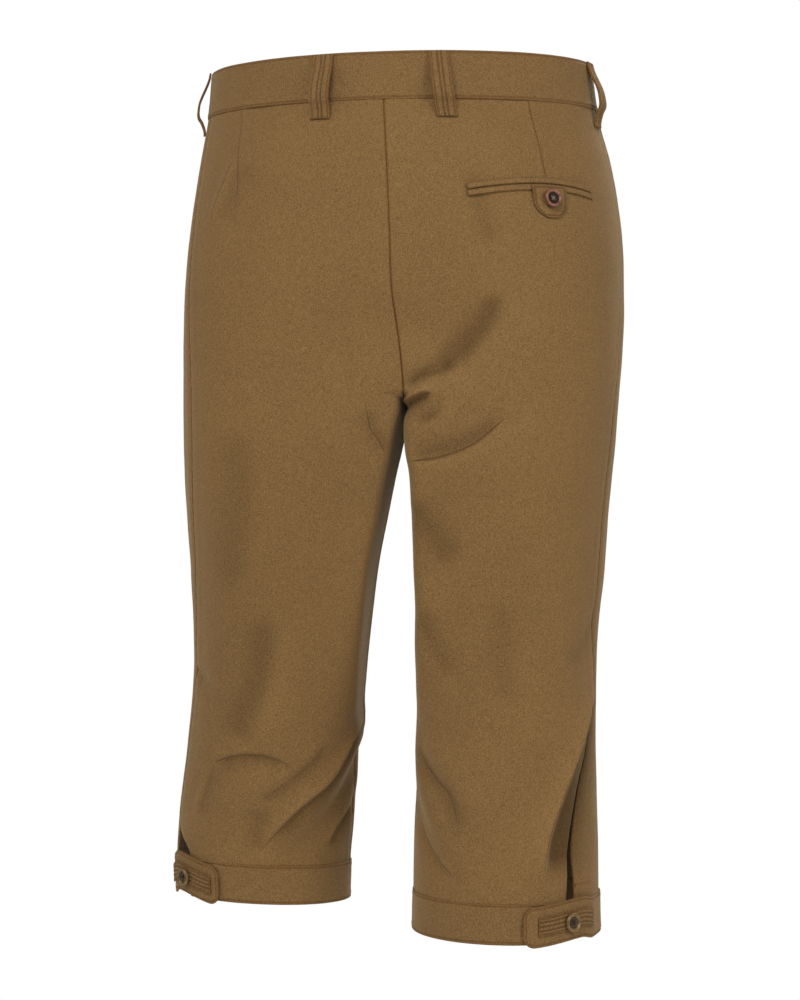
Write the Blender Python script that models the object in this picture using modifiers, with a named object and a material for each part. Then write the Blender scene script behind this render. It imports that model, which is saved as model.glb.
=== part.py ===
"""Knee breeches, worn shape with no wearer: four leg panels, a waistband with six belt loops, a fly shield,
a jetted back pocket with a button tab, and two knee bands that wrap round and close with a button strap.

Metres, +Z up. The wearer looks along -Y, and their left is +X. The origin is the middle of the waistband.
"""

import math

import bmesh
import bpy
import numpy as np
from mathutils import Vector

# ---- driving dimensions ----
CLOTH = 0.0015
FACED_CLOTH = 0.003
SEAM_GAP = 0.0003
WAISTBAND_HEIGHT = 0.039
KNEEBAND_HEIGHT = 0.033
BAND_PROUD = 0.0010
# The fork, where the middle seams turn in under the body. A lower power makes a squarer turn, and a higher pull
# a narrower one. The legs' inner back corners are squarer than an ellipse as far down as CORNER_ENDS.
FORK_TOP = -0.120
FORK_DEPTH = 0.137
FORK_LEVEL = -0.250
FORK_POWER = 0.8
SEAM_PULL = 6.0
SIDE_PULL = 8.0
INNER_CORNER = 4.0
CORNER_ENDS = -0.56
LEG_LEVEL = -0.360

# The back of each leg hangs flat to its inner edge and to the fork, and turns in there round a small corner.
# The middle seam and both inner edges slant a little to the right at the back.
FORK_BOTTOM = -0.2565
FLAT_DEPTH = 0.005
EDGE_ROUND = 0.005
FLAT_WIDTH = 0.030
FLAT_FALL = 0.08
FLAT_BLEND = 0.003
FLAT_START = 0.05
FLAT_ENDS = -0.600
FLAT_END = 0.20
SLANT = 0.007
SLANT_FROM = -0.16
SLANT_START = 0.08

GIRTH = 0.50
WAIST_RISE = -0.014
WAIST_RISE_DEPTH = 0.055
WAIST_OVERLAP = 0.023
OVERLAP_RAMP = 0.040
WAISTBAND_COLUMNS = 89
FLY_TURNS = (-0.026, 0.018)
FLY_BOTTOM = -0.112

MOLESKIN = (0.235, 0.139, 0.057)
HORN = (0.10, 0.030, 0.016)
BRASS = (0.16, 0.095, 0.04)

LEFT, RIGHT = 1, -1
NAMES = {LEFT: "left", RIGHT: "right"}

# Sections of the trunk: how far the front and back stand from the side seams' plane, and the section's shape.
# width_power and depth_power are 1 on an ellipse and less on a squarer section.
# height, front, back, width_power, depth_power
TRUNK = np.array(
    (
        (0.022, 0.117, 0.118, 1.00, 1.00),
        (-0.020, 0.118, 0.119, 1.00, 1.00),
        (-0.060, 0.119, 0.128, 0.94, 0.92),
        (-0.095, 0.118, 0.132, 0.89, 0.84),
        (-0.140, 0.115, 0.134, 0.86, 0.76),
        (-0.180, 0.112, 0.133, 0.86, 0.68),
        (-0.240, 0.108, 0.128, 0.86, 0.60),
        (-0.360, 0.100, 0.118, 0.86, 0.60),
    )
)

# The line between the halves, which the middle seams follow above the fork, and below it half the way
# from one inseam to the other.
# height, middle_x, half_gap
BETWEEN = np.array(
    (
        (0.022, 0.0000, 0.0),
        (-0.020, 0.0000, 0.0),
        (-0.060, -0.0030, 0.0),
        (-0.110, -0.0058, 0.0),
        (-0.180, -0.0080, 0.0),
        (-0.230, -0.0090, 0.0),
        (-0.257, -0.0072, 0.0),
        (-0.277, -0.0045, 0.0018),
        (-0.296, -0.0029, 0.0042),
        (-0.313, -0.0022, 0.0076),
        (-0.346, 0.0004, 0.0119),
        (-0.397, 0.0052, 0.0179),
        (-0.448, 0.0081, 0.0218),
        (-0.500, 0.0102, 0.0254),
        (-0.550, 0.0134, 0.0273),
        (-0.600, 0.0168, 0.0298),
        (-0.640, 0.0191, 0.0314),
        (-0.700, 0.0206, 0.0318),
    )
)

# Sections of each half from waist to hem: the x of its side, and its leg's middle and half depth.
# height, outer, centre_y, depth
HALF = {
    LEFT: np.array(
        (
            (0.022, 0.1590, 0.012, 0.116),
            (-0.020, 0.1630, 0.012, 0.116),
            (-0.060, 0.1692, 0.012, 0.116),
            (-0.110, 0.1754, 0.012, 0.116),
            (-0.180, 0.1799, 0.012, 0.115),
            (-0.257, 0.1806, 0.012, 0.112),
            (-0.296, 0.1808, 0.009, 0.109),
            (-0.346, 0.1808, 0.002, 0.102),
            (-0.397, 0.1788, -0.005, 0.095),
            (-0.448, 0.1778, -0.012, 0.088),
            (-0.500, 0.1802, -0.018, 0.083),
            (-0.550, 0.1864, -0.025, 0.080),
            (-0.600, 0.1935, -0.032, 0.078),
            (-0.640, 0.1975, -0.037, 0.077),
            (-0.680, 0.1970, -0.042, 0.077),
        )
    ),
    RIGHT: np.array(
        (
            (0.022, -0.1560, 0.012, 0.116),
            (-0.020, -0.1618, 0.012, 0.116),
            (-0.060, -0.1722, 0.012, 0.116),
            (-0.110, -0.1807, 0.012, 0.116),
            (-0.180, -0.1834, 0.012, 0.115),
            (-0.257, -0.1797, 0.012, 0.112),
            (-0.296, -0.1770, 0.011, 0.109),
            (-0.346, -0.1722, 0.011, 0.102),
            (-0.397, -0.1683, 0.012, 0.095),
            (-0.448, -0.1636, 0.013, 0.088),
            (-0.500, -0.1620, 0.015, 0.083),
            (-0.550, -0.1626, 0.016, 0.080),
            (-0.600, -0.1636, 0.017, 0.078),
            (-0.640, -0.1642, 0.018, 0.078),
            (-0.700, -0.1650, 0.019, 0.078),
        )
    ),
}

# Where the outseam lies, in turns round the half: 0 at the inseam, 0.5 at the side, 1 at the inseam again.
# Below the top of the knee vent the back edge parts from the front edge by the opening.
# height, front_edge, opening
OUTSEAM = {
    LEFT: np.array(
        (
            (-0.020, 0.590, 0.0),
            (-0.120, 0.617, 0.0),
            (-0.210, 0.612, 0.0),
            (-0.330, 0.598, 0.0),
            (-0.440, 0.582, 0.0),
            (-0.540, 0.570, 0.0),
            (-0.600, 0.566, 0.010),
            (-0.620, 0.570, 0.018),
            (-0.642, 0.574, 0.045),
            (-0.680, 0.574, 0.047),
        )
    ),
    RIGHT: np.array(
        (
            (-0.020, 0.525, 0.0),
            (-0.120, 0.505, 0.0),
            (-0.210, 0.502, 0.0),
            (-0.280, 0.540, 0.0),
            (-0.400, 0.541, 0.0),
            (-0.530, 0.538, 0.0),
            (-0.571, 0.583, 0.011),
            (-0.610, 0.607, 0.020),
            (-0.655, 0.606, 0.027),
            (-0.700, 0.606, 0.027),
        )
    ),
}

# Hem height at the leg's middle, and how much the hem rises per metre to +X and to +Y.
HEM = {LEFT: (-0.672, 0.047, 0.0), RIGHT: (-0.6905, 0.014, -0.045)}
HEM_TILT_FROM = -0.50
HEM_TILT_DEPTH = 0.14

# Soft folds: a curve from start by way of bend to end, in turns and height, with its half width and its rise.
# side, start_turn, start_height, bend_turn, bend_height, end_turn, end_height, width, rise
FOLDS = (
    (LEFT, 1.020, -0.520, 0.920, -0.552, 0.780, -0.634, 0.011, 0.0050),
    (LEFT, 1.020, -0.545, 0.935, -0.580, 0.830, -0.640, 0.012, -0.0045),
    (LEFT, 1.010, -0.585, 0.960, -0.598, 0.905, -0.632, 0.008, -0.0025),
    (LEFT, 0.610, -0.590, 0.680, -0.522, 0.840, -0.570, 0.010, -0.0025),
    (LEFT, 0.650, -0.615, 0.730, -0.560, 0.800, -0.600, 0.020, 0.0030),
    (LEFT, 0.560, -0.475, 0.610, -0.480, 0.660, -0.505, 0.010, -0.0018),
    (LEFT, 0.690, -0.300, 0.710, -0.400, 0.680, -0.500, 0.030, 0.0040),
    (LEFT, 0.110, -0.520, 0.250, -0.500, 0.390, -0.530, 0.014, 0.0035),
    (LEFT, 0.130, -0.570, 0.260, -0.555, 0.400, -0.585, 0.014, -0.0030),
    (LEFT, 0.110, -0.225, 0.180, -0.210, 0.260, -0.185, 0.012, -0.0025),
    (LEFT, 0.120, -0.270, 0.200, -0.260, 0.300, -0.235, 0.014, 0.0030),
    (RIGHT, 0.540, -0.505, 0.620, -0.560, 0.668, -0.640, 0.012, 0.0050),
    (RIGHT, 0.620, -0.570, 0.645, -0.610, 0.645, -0.650, 0.008, -0.0020),
    (RIGHT, 0.980, -0.575, 0.895, -0.610, 0.820, -0.650, 0.011, -0.0028),
    (RIGHT, 0.960, -0.510, 0.885, -0.562, 0.815, -0.602, 0.013, -0.0020),
    (RIGHT, 0.950, -0.545, 0.885, -0.590, 0.815, -0.625, 0.013, 0.0025),
    (RIGHT, 0.940, -0.425, 0.890, -0.440, 0.845, -0.472, 0.016, -0.0025),
    (RIGHT, 0.510, -0.420, 0.550, -0.450, 0.600, -0.490, 0.016, -0.0020),
    (RIGHT, 0.900, -0.299, 0.820, -0.305, 0.745, -0.268, 0.010, -0.0025),
    (RIGHT, 0.870, -0.330, 0.800, -0.325, 0.740, -0.290, 0.020, 0.0030),
    (RIGHT, 0.970, -0.212, 0.910, -0.208, 0.860, -0.182, 0.011, -0.0025),
    (RIGHT, 0.110, -0.530, 0.250, -0.515, 0.390, -0.540, 0.014, 0.0035),
    (RIGHT, 0.130, -0.580, 0.260, -0.570, 0.400, -0.600, 0.014, -0.0030),
    (RIGHT, 0.110, -0.225, 0.180, -0.210, 0.260, -0.185, 0.012, -0.0025),
)

# Belt loops: 17 mm strips that bow out over the waistband.
# name, side, top_turn, bottom_turn
BELT_LOOPS = (
    ("belt_loop_back_left", LEFT, 0.9020, 0.9000),
    ("belt_loop_back_right", RIGHT, 0.9110, 0.9040),
    ("belt_loop_side_left", LEFT, 0.5500, 0.5540),
    ("belt_loop_side_right", RIGHT, 0.5450, 0.5540),
    ("belt_loop_front_left", LEFT, 0.1220, 0.1220),
    ("belt_loop_front_right", RIGHT, 0.1220, 0.1220),
)
LOOP_WIDTH = 0.017
LOOP_TOP = 0.0190
LOOP_FOOT = -0.034
LOOP_BOW_SHARES = (0.36, 0.56)
LOOP_CLEAR = 0.0072
LOOP_STEP = 0.004
LOOP_CLOTH = 0.0018

# Back pocket on the wearer's right: two welts along a slit that dips at its ends, and a button tab.
POCKET_MIDDLE = 0.765
POCKET_TURNS = (0.649, 0.897)
POCKET_HEIGHT = -0.0867
POCKET_DIP = 0.35
SLIT_GAP = 0.0010
WELT_HEIGHT = 0.0045
WELT_CLOTH = 0.0012
TAB_MIDDLE = 0.7560
TAB_HALF_TURN = 0.034
TAB_TOP = -0.0880
TAB_TIP = -0.1140
TAB_SHOULDER = -0.1030
TAB_CLOTH = 0.0014
TAB_TIP_SHARE = 0.16
TAB_ROUNDING = 1.6
TAB_FALL = 0.008
TAB_BUTTON_HEIGHT = -0.0990

# Knee bands: each starts under its own strap, goes once round the leg and ends in the strap.
UNDER_END = {LEFT: 0.621, RIGHT: 0.634}
STRAP_END = {LEFT: 0.697, RIGHT: 0.707}
STRAP_RISE_TURNS = (0.525, 0.585)
STRAP_SHIFT = {LEFT: (0.0045, 0.0085), RIGHT: (0.0027, 0.0055)}
STRAP_UP_TURNS = (0.560, 0.595)
STRAP_DOWN_TURNS = (0.590, 0.712)
STRAP_CORNER = 0.010
PATCH_TURNS = (0.566, 0.683)
PATCH_HALF_HEIGHT = 0.0076
PATCH_CLOTH = 0.0012
STRAP_BUTTON_TURN = 0.624
STRAP_BUTTON_BELOW = 0.0015

# A sewn button's outline, from the middle of its dished face to its back, as shares of its radius.
# radius, height
BUTTON_PROFILE = (
    (0.00, 0.34),
    (0.55, 0.34),
    (0.66, 0.46),
    (0.84, 0.50),
    (0.97, 0.40),
    (1.00, 0.25),
    (0.88, 0.05),
    (0.70, 0.00),
    (0.00, 0.00),
)
BUTTON_RADIUS = 0.0076
BUTTON_STEPS = 20

# ---- helpers ----
def smooth_column(table, column, height):
    """Reads one column of a section table at any height, on a smooth curve through its rows."""
    heights = -table[:, 0]
    values = table[:, column]
    slopes = np.gradient(values, heights)
    at = np.clip(-np.asarray(height, float), heights[0], heights[-1])
    row = np.clip(np.searchsorted(heights, at, side="right") - 1, 0, len(heights) - 2)
    step = heights[row + 1] - heights[row]
    t = (at - heights[row]) / step
    return (
        (2 * t**3 - 3 * t**2 + 1) * values[row]
        + (t**3 - 2 * t**2 + t) * step * slopes[row]
        + (3 * t**2 - 2 * t**3) * values[row + 1]
        + (t**3 - t**2) * step * slopes[row + 1]
    )


def ease(value):
    """0 below 0, 1 above 1, and a soft step between."""
    t = np.clip(value, 0, 1)
    return t * t * (3 - 2 * t)


def power(value, exponent):
    return np.sign(value) * np.abs(value) ** exponent


def body_form(side, turn, height):
    """The smooth form of one half: a trunk section above, a closed leg loop below, joined along the fork."""
    turn, height = np.broadcast_arrays(np.asarray(turn, float), np.asarray(height, float))
    outer = smooth_column(HALF[side], 1, height)
    half_gap = np.maximum(smooth_column(BETWEEN, 2, height), 0) + SEAM_GAP / 2
    inner = smooth_column(BETWEEN, 1, height) + side * half_gap
    centre_y = smooth_column(HALF[side], 2, height)
    depth = smooth_column(HALF[side], 3, height)
    front = smooth_column(TRUNK, 1, height)
    back = smooth_column(TRUNK, 2, height)

    half_angle = math.pi * np.mod(turn, 1.0 + 1e-9)
    sideways = power(np.sin(half_angle), smooth_column(TRUNK, 3, height))
    forward = power(np.cos(half_angle), smooth_column(TRUNK, 4, height))
    trunk_x = inner + (outer - inner) * sideways
    trunk_y = -np.where(forward > 0, front, back) * forward

    angle = 2 * math.pi * turn
    square = 2 + (INNER_CORNER - 2) * ease((height - CORNER_ENDS) / (FORK_LEVEL - CORNER_ENDS))
    inward, back_on = np.maximum(np.cos(angle), 0), np.maximum(-np.sin(angle), 0)
    full = np.where(inward * back_on > 0, (inward**square + back_on**square + 1e-9) ** (-1 / square), 1)
    leg_x = (outer + inner) / 2 - (outer - inner) / 2 * full * np.cos(angle)
    leg_y = centre_y - depth * full * np.sin(angle)

    near_seam = (0.5 + 0.5 * np.cos(angle)) ** SEAM_PULL
    down_fork = np.clip((FORK_TOP - height) / (FORK_TOP - FORK_LEVEL), 0, 1)
    fork_angle = math.pi / 2 * ease(down_fork)
    leg_share = ease((FORK_TOP - height) / (FORK_TOP - LEG_LEVEL))
    share_x = leg_share + (ease(down_fork) - leg_share) * (0.5 + 0.5 * np.cos(angle)) ** SIDE_PULL
    share_y = leg_share + (1 - power(np.cos(fork_angle), FORK_POWER) - leg_share) * near_seam

    crotch_drop = FORK_LEVEL - (FORK_TOP - FORK_DEPTH)
    below_fork = ease((FORK_LEVEL - height) / (FORK_LEVEL - LEG_LEVEL))
    on_fork = FORK_TOP - FORK_DEPTH * power(np.sin(fork_angle), FORK_POWER)
    down_leg = height - crotch_drop * (1 - below_fork)
    seam_height = np.select((height > FORK_TOP, height > FORK_LEVEL), (height, on_fork), down_leg)
    x = trunk_x + (leg_x - trunk_x) * share_x
    y = trunk_y + (leg_y - trunk_y) * share_y
    z = height + (seam_height - height) * near_seam

    inside = np.maximum(side * (x - inner), 0)
    to_edge = np.hypot(inside, np.maximum(z - FORK_BOTTOM, 0)) + 1e-5
    flat = centre_y + depth - FLAT_DEPTH - EDGE_ROUND**2 / to_edge
    flat = flat - np.maximum(inside - FLAT_WIDTH, 0) ** 2 / FLAT_FALL
    hung = (y + flat + np.sqrt((y - flat) ** 2 + FLAT_BLEND**2)) / 2
    hanging = ease((FORK_TOP - height) / FLAT_START) * ease((height - FLAT_ENDS) / FLAT_END)
    y = np.where(turn > 0.5, y + (hung - y) * hanging, y)
    slant = SLANT * ease((SLANT_FROM - z) / SLANT_START) * ease((height - FLAT_ENDS) / FLAT_END)
    toward_back = np.maximum(y - centre_y, 0) / depth
    x = np.where(turn > 0.5, x - slant * toward_back * ease(1.5 * np.cos(angle)), x)

    hem_height, rise_x, rise_y = HEM[side]
    tilt = ease((HEM_TILT_FROM - height) / HEM_TILT_DEPTH)
    z = z + tilt * (rise_x * (x - (outer + inner) / 2) + rise_y * (y - centre_y))
    z = z + WAIST_RISE * x * ease(1 + height / WAIST_RISE_DEPTH)
    return np.stack((x, y, z), axis=-1)


def outward(side, turn, height):
    """Unit normals of the smooth form."""
    step = 0.002
    on_half = np.mod(turn, 1.0 + 1e-9)
    ahead, behind = np.minimum(on_half + step, 1), np.maximum(on_half - step, 0)
    along = body_form(side, ahead, height) - body_form(side, behind, height)
    up = body_form(side, turn, height + step) - body_form(side, turn, height - step)
    normal = side * np.cross(along, up)
    return normal / np.linalg.norm(normal, axis=-1, keepdims=True)


def fold_rise(side, turn, height):
    """How far the folds lift or sink the cloth at each point."""
    rise = np.zeros(np.broadcast(turn, height).shape)
    travel = np.linspace(0, 1, 33)
    for fold_side, turn_0, height_0, turn_1, height_1, turn_2, height_2, width, top in FOLDS:
        if fold_side != side:
            continue
        shares = (1 - travel) ** 2, 2 * travel * (1 - travel), travel**2
        path_turn = shares[0] * turn_0 + shares[1] * turn_1 + shares[2] * turn_2
        path_height = shares[0] * height_0 + shares[1] * height_1 + shares[2] * height_2
        apart_turns = np.asarray(turn)[..., None] - path_turn
        closed_leg = np.asarray(height)[..., None] < FORK_LEVEL
        across = np.where(closed_leg, (apart_turns + 0.5) % 1 - 0.5, apart_turns) * GIRTH
        down = np.asarray(height)[..., None] - path_height
        apart = np.hypot(across, down)
        nearest = apart.argmin(axis=-1)
        strength = np.sin(math.pi * (0.12 + 0.76 * travel))[nearest]
        rise = rise + top * strength * np.exp(-((apart.min(axis=-1) / width) ** 2))
    return rise


def cloth_points(side, turn, height, lift=0.0):
    """Points on the outer face of the cloth, moved out by lift."""
    turn, height = np.broadcast_arrays(np.asarray(turn, float), np.asarray(height, float))
    move = fold_rise(side, turn, height) + lift
    return body_form(side, turn, height) + outward(side, turn, height) * move[..., None]


def cloth_material(name, colour, roughness=0.9, metallic=0.0):
    material = bpy.data.materials.new(name)
    material.use_nodes = True
    shader = material.node_tree.nodes["Principled BSDF"]
    shader.inputs["Base Color"].default_value = (*colour, 1.0)
    shader.inputs["Roughness"].default_value = roughness
    shader.inputs["Metallic"].default_value = metallic
    return material


def add_object(name, mesh, material):
    mesh.materials.append(material)
    piece = bpy.data.objects.new(name, mesh)
    COLLECTION.objects.link(piece)
    return piece


def add_sheet(name, points, thickness, material, outside=False):
    """A cloth wall: a grid primitive laid on the points, rows by columns, with a Solidify modifier."""
    rows, columns = points.shape[:2]
    mesh = bpy.data.meshes.new(name)
    grid = bmesh.new()
    bmesh.ops.create_grid(grid, x_segments=columns - 1, y_segments=rows - 1, size=1)
    for vert in grid.verts:
        column = round((vert.co.x + 1) / 2 * (columns - 1))
        row = round((vert.co.y + 1) / 2 * (rows - 1))
        vert.co = Vector(points[row, column])
    grid.normal_update()
    grid.to_mesh(mesh)
    grid.free()
    mesh.shade_smooth()
    piece = add_object(name, mesh, material)
    solid = piece.modifiers.new("Wall", "SOLIDIFY")
    solid.thickness = thickness
    solid.offset = 1 if outside else -1
    return piece


def facing_out(side, points):
    """Columns run so that a grid's normals point away from the body."""
    return points if side == LEFT else points[:, ::-1]


# ---- leg panels ----
PANEL_ROWS = 34
FRONT_COLUMNS = 16
BACK_COLUMNS = 20
EDGE_SHARE = 0.006


def add_leg_panel(side, part, material):
    band_top = HEM[side][0] + KNEEBAND_HEIGHT
    heights = np.linspace(band_top + SEAM_GAP, -WAISTBAND_HEIGHT / 2 - SEAM_GAP, PANEL_ROWS)
    side_gap = SEAM_GAP / 2 / GIRTH
    leg_gap = side_gap * ease((FORK_TOP - heights) / (FORK_TOP - FORK_LEVEL))
    columns = FRONT_COLUMNS if part == "front" else BACK_COLUMNS
    share = np.concatenate(((0, EDGE_SHARE), np.linspace(0, 1, columns)[1:-1], (1 - EDGE_SHARE, 1)))
    if part == "front":
        first = leg_gap
        last = smooth_column(OUTSEAM[side], 1, heights) - side_gap
    else:
        opening = np.maximum(smooth_column(OUTSEAM[side], 2, heights), 0)
        first = smooth_column(OUTSEAM[side], 1, heights) + opening + side_gap
        last = 1 - leg_gap
    turns = first[:, None] + (last - first)[:, None] * share
    points = cloth_points(side, turns, heights[:, None])
    add_sheet(f"{part}_{NAMES[side]}", facing_out(side, points), CLOTH, material)


def add_leg_panels():
    for side in (LEFT, RIGHT):
        for part in ("front", "back"):
            name = f"moleskin_{part}_{NAMES[side]}"
            add_leg_panel(side, part, cloth_material(name, MOLESKIN))


# ---- waistband, fly shield and belt loops ----
def waist_points(turn, height, lift):
    """Points round the whole waist, from the middle front by way of the wearer's right: 1 is the middle back."""
    turn, height, lift = np.broadcast_arrays(turn, height, lift)
    round_turn = np.mod(turn, 2.0)
    right = cloth_points(RIGHT, np.minimum(round_turn, 1), height, lift)
    left = cloth_points(LEFT, np.minimum(2 - round_turn, 1), height, lift)
    return np.where((round_turn <= 1)[..., None], right, left)


def add_waistband(material):
    overlap = WAIST_OVERLAP / (math.pi * HALF[LEFT][0, 1])
    turns = np.linspace(-overlap, 2 + overlap, WAISTBAND_COLUMNS)
    heights = np.array((-1, 0, 1)) * WAISTBAND_HEIGHT / 2
    over = ease(1 + (turns - (2 - overlap)) / OVERLAP_RAMP) * (FACED_CLOTH + SEAM_GAP)
    points = waist_points(turns, heights[:, None], BAND_PROUD + over)
    add_sheet("waistband", points[:, ::-1], FACED_CLOTH, material)


def add_fly_shield(material):
    turns = np.linspace(*FLY_TURNS, 7)
    heights = np.linspace(FLY_BOTTOM, -WAISTBAND_HEIGHT / 2 - SEAM_GAP, 9)
    points = waist_points(turns, heights[:, None], -CLOTH - 2 * SEAM_GAP)
    add_sheet("fly_shield", points[:, ::-1], CLOTH, material)


def add_belt_loop(name, side, top_turn, bottom_turn, material):
    """A strip laid on the waistband at its top and on the leg panel at its foot, and bowed out between."""
    share = np.linspace(0, 1, 13)
    heights = LOOP_FOOT + (LOOP_TOP - LOOP_FOOT) * share
    turns = bottom_turn + (top_turn - bottom_turn) * share
    foot_share, top_share = LOOP_BOW_SHARES
    bow = ease(share / foot_share) * ease((1 - share) / top_share)
    on_band = ease(1 + (heights + WAISTBAND_HEIGHT / 2) / LOOP_STEP)
    lift = SEAM_GAP + BAND_PROUD * on_band + LOOP_CLEAR * bow
    middle = cloth_points(side, turns, heights, lift)
    across = cloth_points(side, turns + 0.004, heights) - cloth_points(side, turns - 0.004, heights)
    across /= np.linalg.norm(across, axis=-1, keepdims=True)
    offsets = np.array((-0.5, 0, 0.5)) * LOOP_WIDTH
    points = middle[:, None] + across[:, None] * offsets[:, None]
    add_sheet(name, facing_out(side, points), LOOP_CLOTH, material, outside=True)


# ---- back pocket ----
def slit_height(turn):
    return POCKET_HEIGHT - POCKET_DIP * (turn - POCKET_MIDDLE) ** 2


def add_welt(name, direction, material):
    turns = np.linspace(*POCKET_TURNS, 15)
    near = direction * SLIT_GAP / 2
    far = near + direction * WELT_HEIGHT
    offsets = np.array(sorted((near, far)))
    heights = slit_height(turns) + offsets[:, None]
    points = cloth_points(RIGHT, turns, heights, SEAM_GAP)
    add_sheet(name, facing_out(RIGHT, points), WELT_CLOTH, material, outside=True)


def add_pocket_tab(material):
    """A tab that comes from the slit, lies over the lower welt and ends in a blunt point."""
    below_shoulder = np.linspace(TAB_TIP, TAB_SHOULDER, 6)
    heights = np.concatenate((below_shoulder, np.linspace(TAB_SHOULDER, TAB_TOP, 6)[1:]))
    to_tip = np.clip((heights - TAB_TIP) / (TAB_SHOULDER - TAB_TIP), 0, 1)
    rounded = (1 - (1 - to_tip) ** TAB_ROUNDING) ** (1 / TAB_ROUNDING)
    half_turns = TAB_HALF_TURN * (TAB_TIP_SHARE + (1 - TAB_TIP_SHARE) * rounded)
    turns = TAB_MIDDLE + half_turns[:, None] * np.linspace(-1, 1, 7)
    over_welt = SEAM_GAP + WELT_CLOTH + SEAM_GAP
    below_welt = ease((slit_height(TAB_MIDDLE) - SLIT_GAP - WELT_HEIGHT - heights) / TAB_FALL)
    lift = over_welt - (over_welt - 2 * SEAM_GAP) * below_welt
    points = cloth_points(RIGHT, turns, heights[:, None], lift[:, None])
    add_sheet("pocket_tab", facing_out(RIGHT, points), TAB_CLOTH, material, outside=True)


# ---- knee bands and their straps ----
def strap_lift(turn):
    """How far the band's outer face stands off the leg: further where the strap crosses the under end."""
    first, last = STRAP_RISE_TURNS
    return BAND_PROUD + (FACED_CLOTH + SEAM_GAP) * ease((turn - 1 - first) / (last - first))


def strap_middle(side, turn):
    """The middle line of band and strap: the strap rises above the band's line, then falls towards its end."""
    rise, fall = STRAP_SHIFT[side]
    up = ease((turn - 1 - STRAP_UP_TURNS[0]) / (STRAP_UP_TURNS[1] - STRAP_UP_TURNS[0]))
    down = ease((turn - 1 - STRAP_DOWN_TURNS[0]) / (STRAP_DOWN_TURNS[1] - STRAP_DOWN_TURNS[0]))
    return HEM[side][0] + KNEEBAND_HEIGHT / 2 + rise * up - fall * down


def add_kneeband(side, material):
    around = np.linspace(UNDER_END[side], 1 + STRAP_END[side] - STRAP_CORNER / GIRTH, 58)
    rounding = STRAP_END[side] + 1 - STRAP_CORNER / GIRTH * np.cos(np.linspace(0, math.pi / 2, 6)[1:])
    turns = np.concatenate((around, rounding))
    to_end = (1 + STRAP_END[side] - turns) * GIRTH
    short = np.clip(1 - to_end / STRAP_CORNER, 0, 1)
    inset = STRAP_CORNER * (1 - np.sqrt(1 - short**2))
    heights = strap_middle(side, turns) + (KNEEBAND_HEIGHT / 2 - inset) * np.array((-1, 0, 1))[:, None]
    points = cloth_points(side, turns, heights, strap_lift(turns))
    add_sheet(f"kneeband_{NAMES[side]}", facing_out(side, points), FACED_CLOTH, material)


def add_strap_patch(side, material):
    turns = np.linspace(*PATCH_TURNS, 12)
    heights = strap_middle(side, 1 + turns) + np.array((-1, 0, 1))[:, None] * PATCH_HALF_HEIGHT
    points = cloth_points(side, turns, heights, strap_lift(1 + turns) + SEAM_GAP)
    add_sheet(f"strap_patch_{NAMES[side]}", facing_out(side, points), PATCH_CLOTH, material, outside=True)


# ---- buttons ----
def add_button(name, side, turn, height, lift, material):
    """A turned button seated on the cloth, its face along the cloth's normal."""
    mesh = bpy.data.meshes.new(name)
    profile = bmesh.new()
    outline = np.array([(radius, 0, rise) for radius, rise in BUTTON_PROFILE]) * BUTTON_RADIUS
    corners = [profile.verts.new(corner) for corner in outline]
    for upper, lower in zip(corners, corners[1:]):
        profile.edges.new((upper, lower))
    profile.to_mesh(mesh)
    profile.free()
    piece = add_object(name, mesh, material)
    turned = piece.modifiers.new("Turned", "SCREW")
    turned.steps = turned.render_steps = BUTTON_STEPS
    turned.use_merge_vertices = True
    turned.merge_threshold = 0.00005
    piece.location = Vector(cloth_points(side, turn, height, lift))
    piece.rotation_euler = Vector(outward(side, turn, height)).to_track_quat("Z", "Y").to_euler()


def add_buttons():
    horn = cloth_material("button_horn", HORN, 0.3)
    brass = cloth_material("button_brass", BRASS, 0.4, 0.6)
    on_tab = SEAM_GAP + WELT_CLOTH + SEAM_GAP + TAB_CLOTH + SEAM_GAP
    add_button("pocket_button", RIGHT, TAB_MIDDLE, TAB_BUTTON_HEIGHT, on_tab, horn)
    for side in (LEFT, RIGHT):
        on_patch = strap_lift(1 + STRAP_BUTTON_TURN) + SEAM_GAP + PATCH_CLOTH + SEAM_GAP
        height = strap_middle(side, 1 + STRAP_BUTTON_TURN) - STRAP_BUTTON_BELOW
        add_button(f"strap_button_{NAMES[side]}", side, STRAP_BUTTON_TURN, height, on_patch, brass)
    on_waistband = BAND_PROUD + FACED_CLOTH + SEAM_GAP + SEAM_GAP
    add_button("waist_button", RIGHT, 0.020, 0.0, on_waistband, horn)


# ---- build ----
def clear_scene():
    for item in list(bpy.data.objects):
        bpy.data.objects.remove(item, do_unlink=True)


def build_breeches():
    add_leg_panels()
    add_waistband(cloth_material("moleskin_waistband", MOLESKIN))
    add_fly_shield(cloth_material("moleskin_fly", MOLESKIN))
    for name, side, top_turn, bottom_turn in BELT_LOOPS:
        add_belt_loop(name, side, top_turn, bottom_turn, cloth_material(f"moleskin_{name}", MOLESKIN))
    add_welt("pocket_welt_upper", 1, cloth_material("moleskin_welt_upper", MOLESKIN))
    add_welt("pocket_welt_lower", -1, cloth_material("moleskin_welt_lower", MOLESKIN))
    add_pocket_tab(cloth_material("moleskin_tab", MOLESKIN))
    for side in (LEFT, RIGHT):
        add_kneeband(side, cloth_material(f"moleskin_kneeband_{NAMES[side]}", MOLESKIN))
        add_strap_patch(side, cloth_material(f"moleskin_patch_{NAMES[side]}", MOLESKIN))
    add_buttons()


clear_scene()
COLLECTION = bpy.data.collections.new("knee_breeches")
bpy.context.scene.collection.children.link(COLLECTION)
build_breeches()
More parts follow.
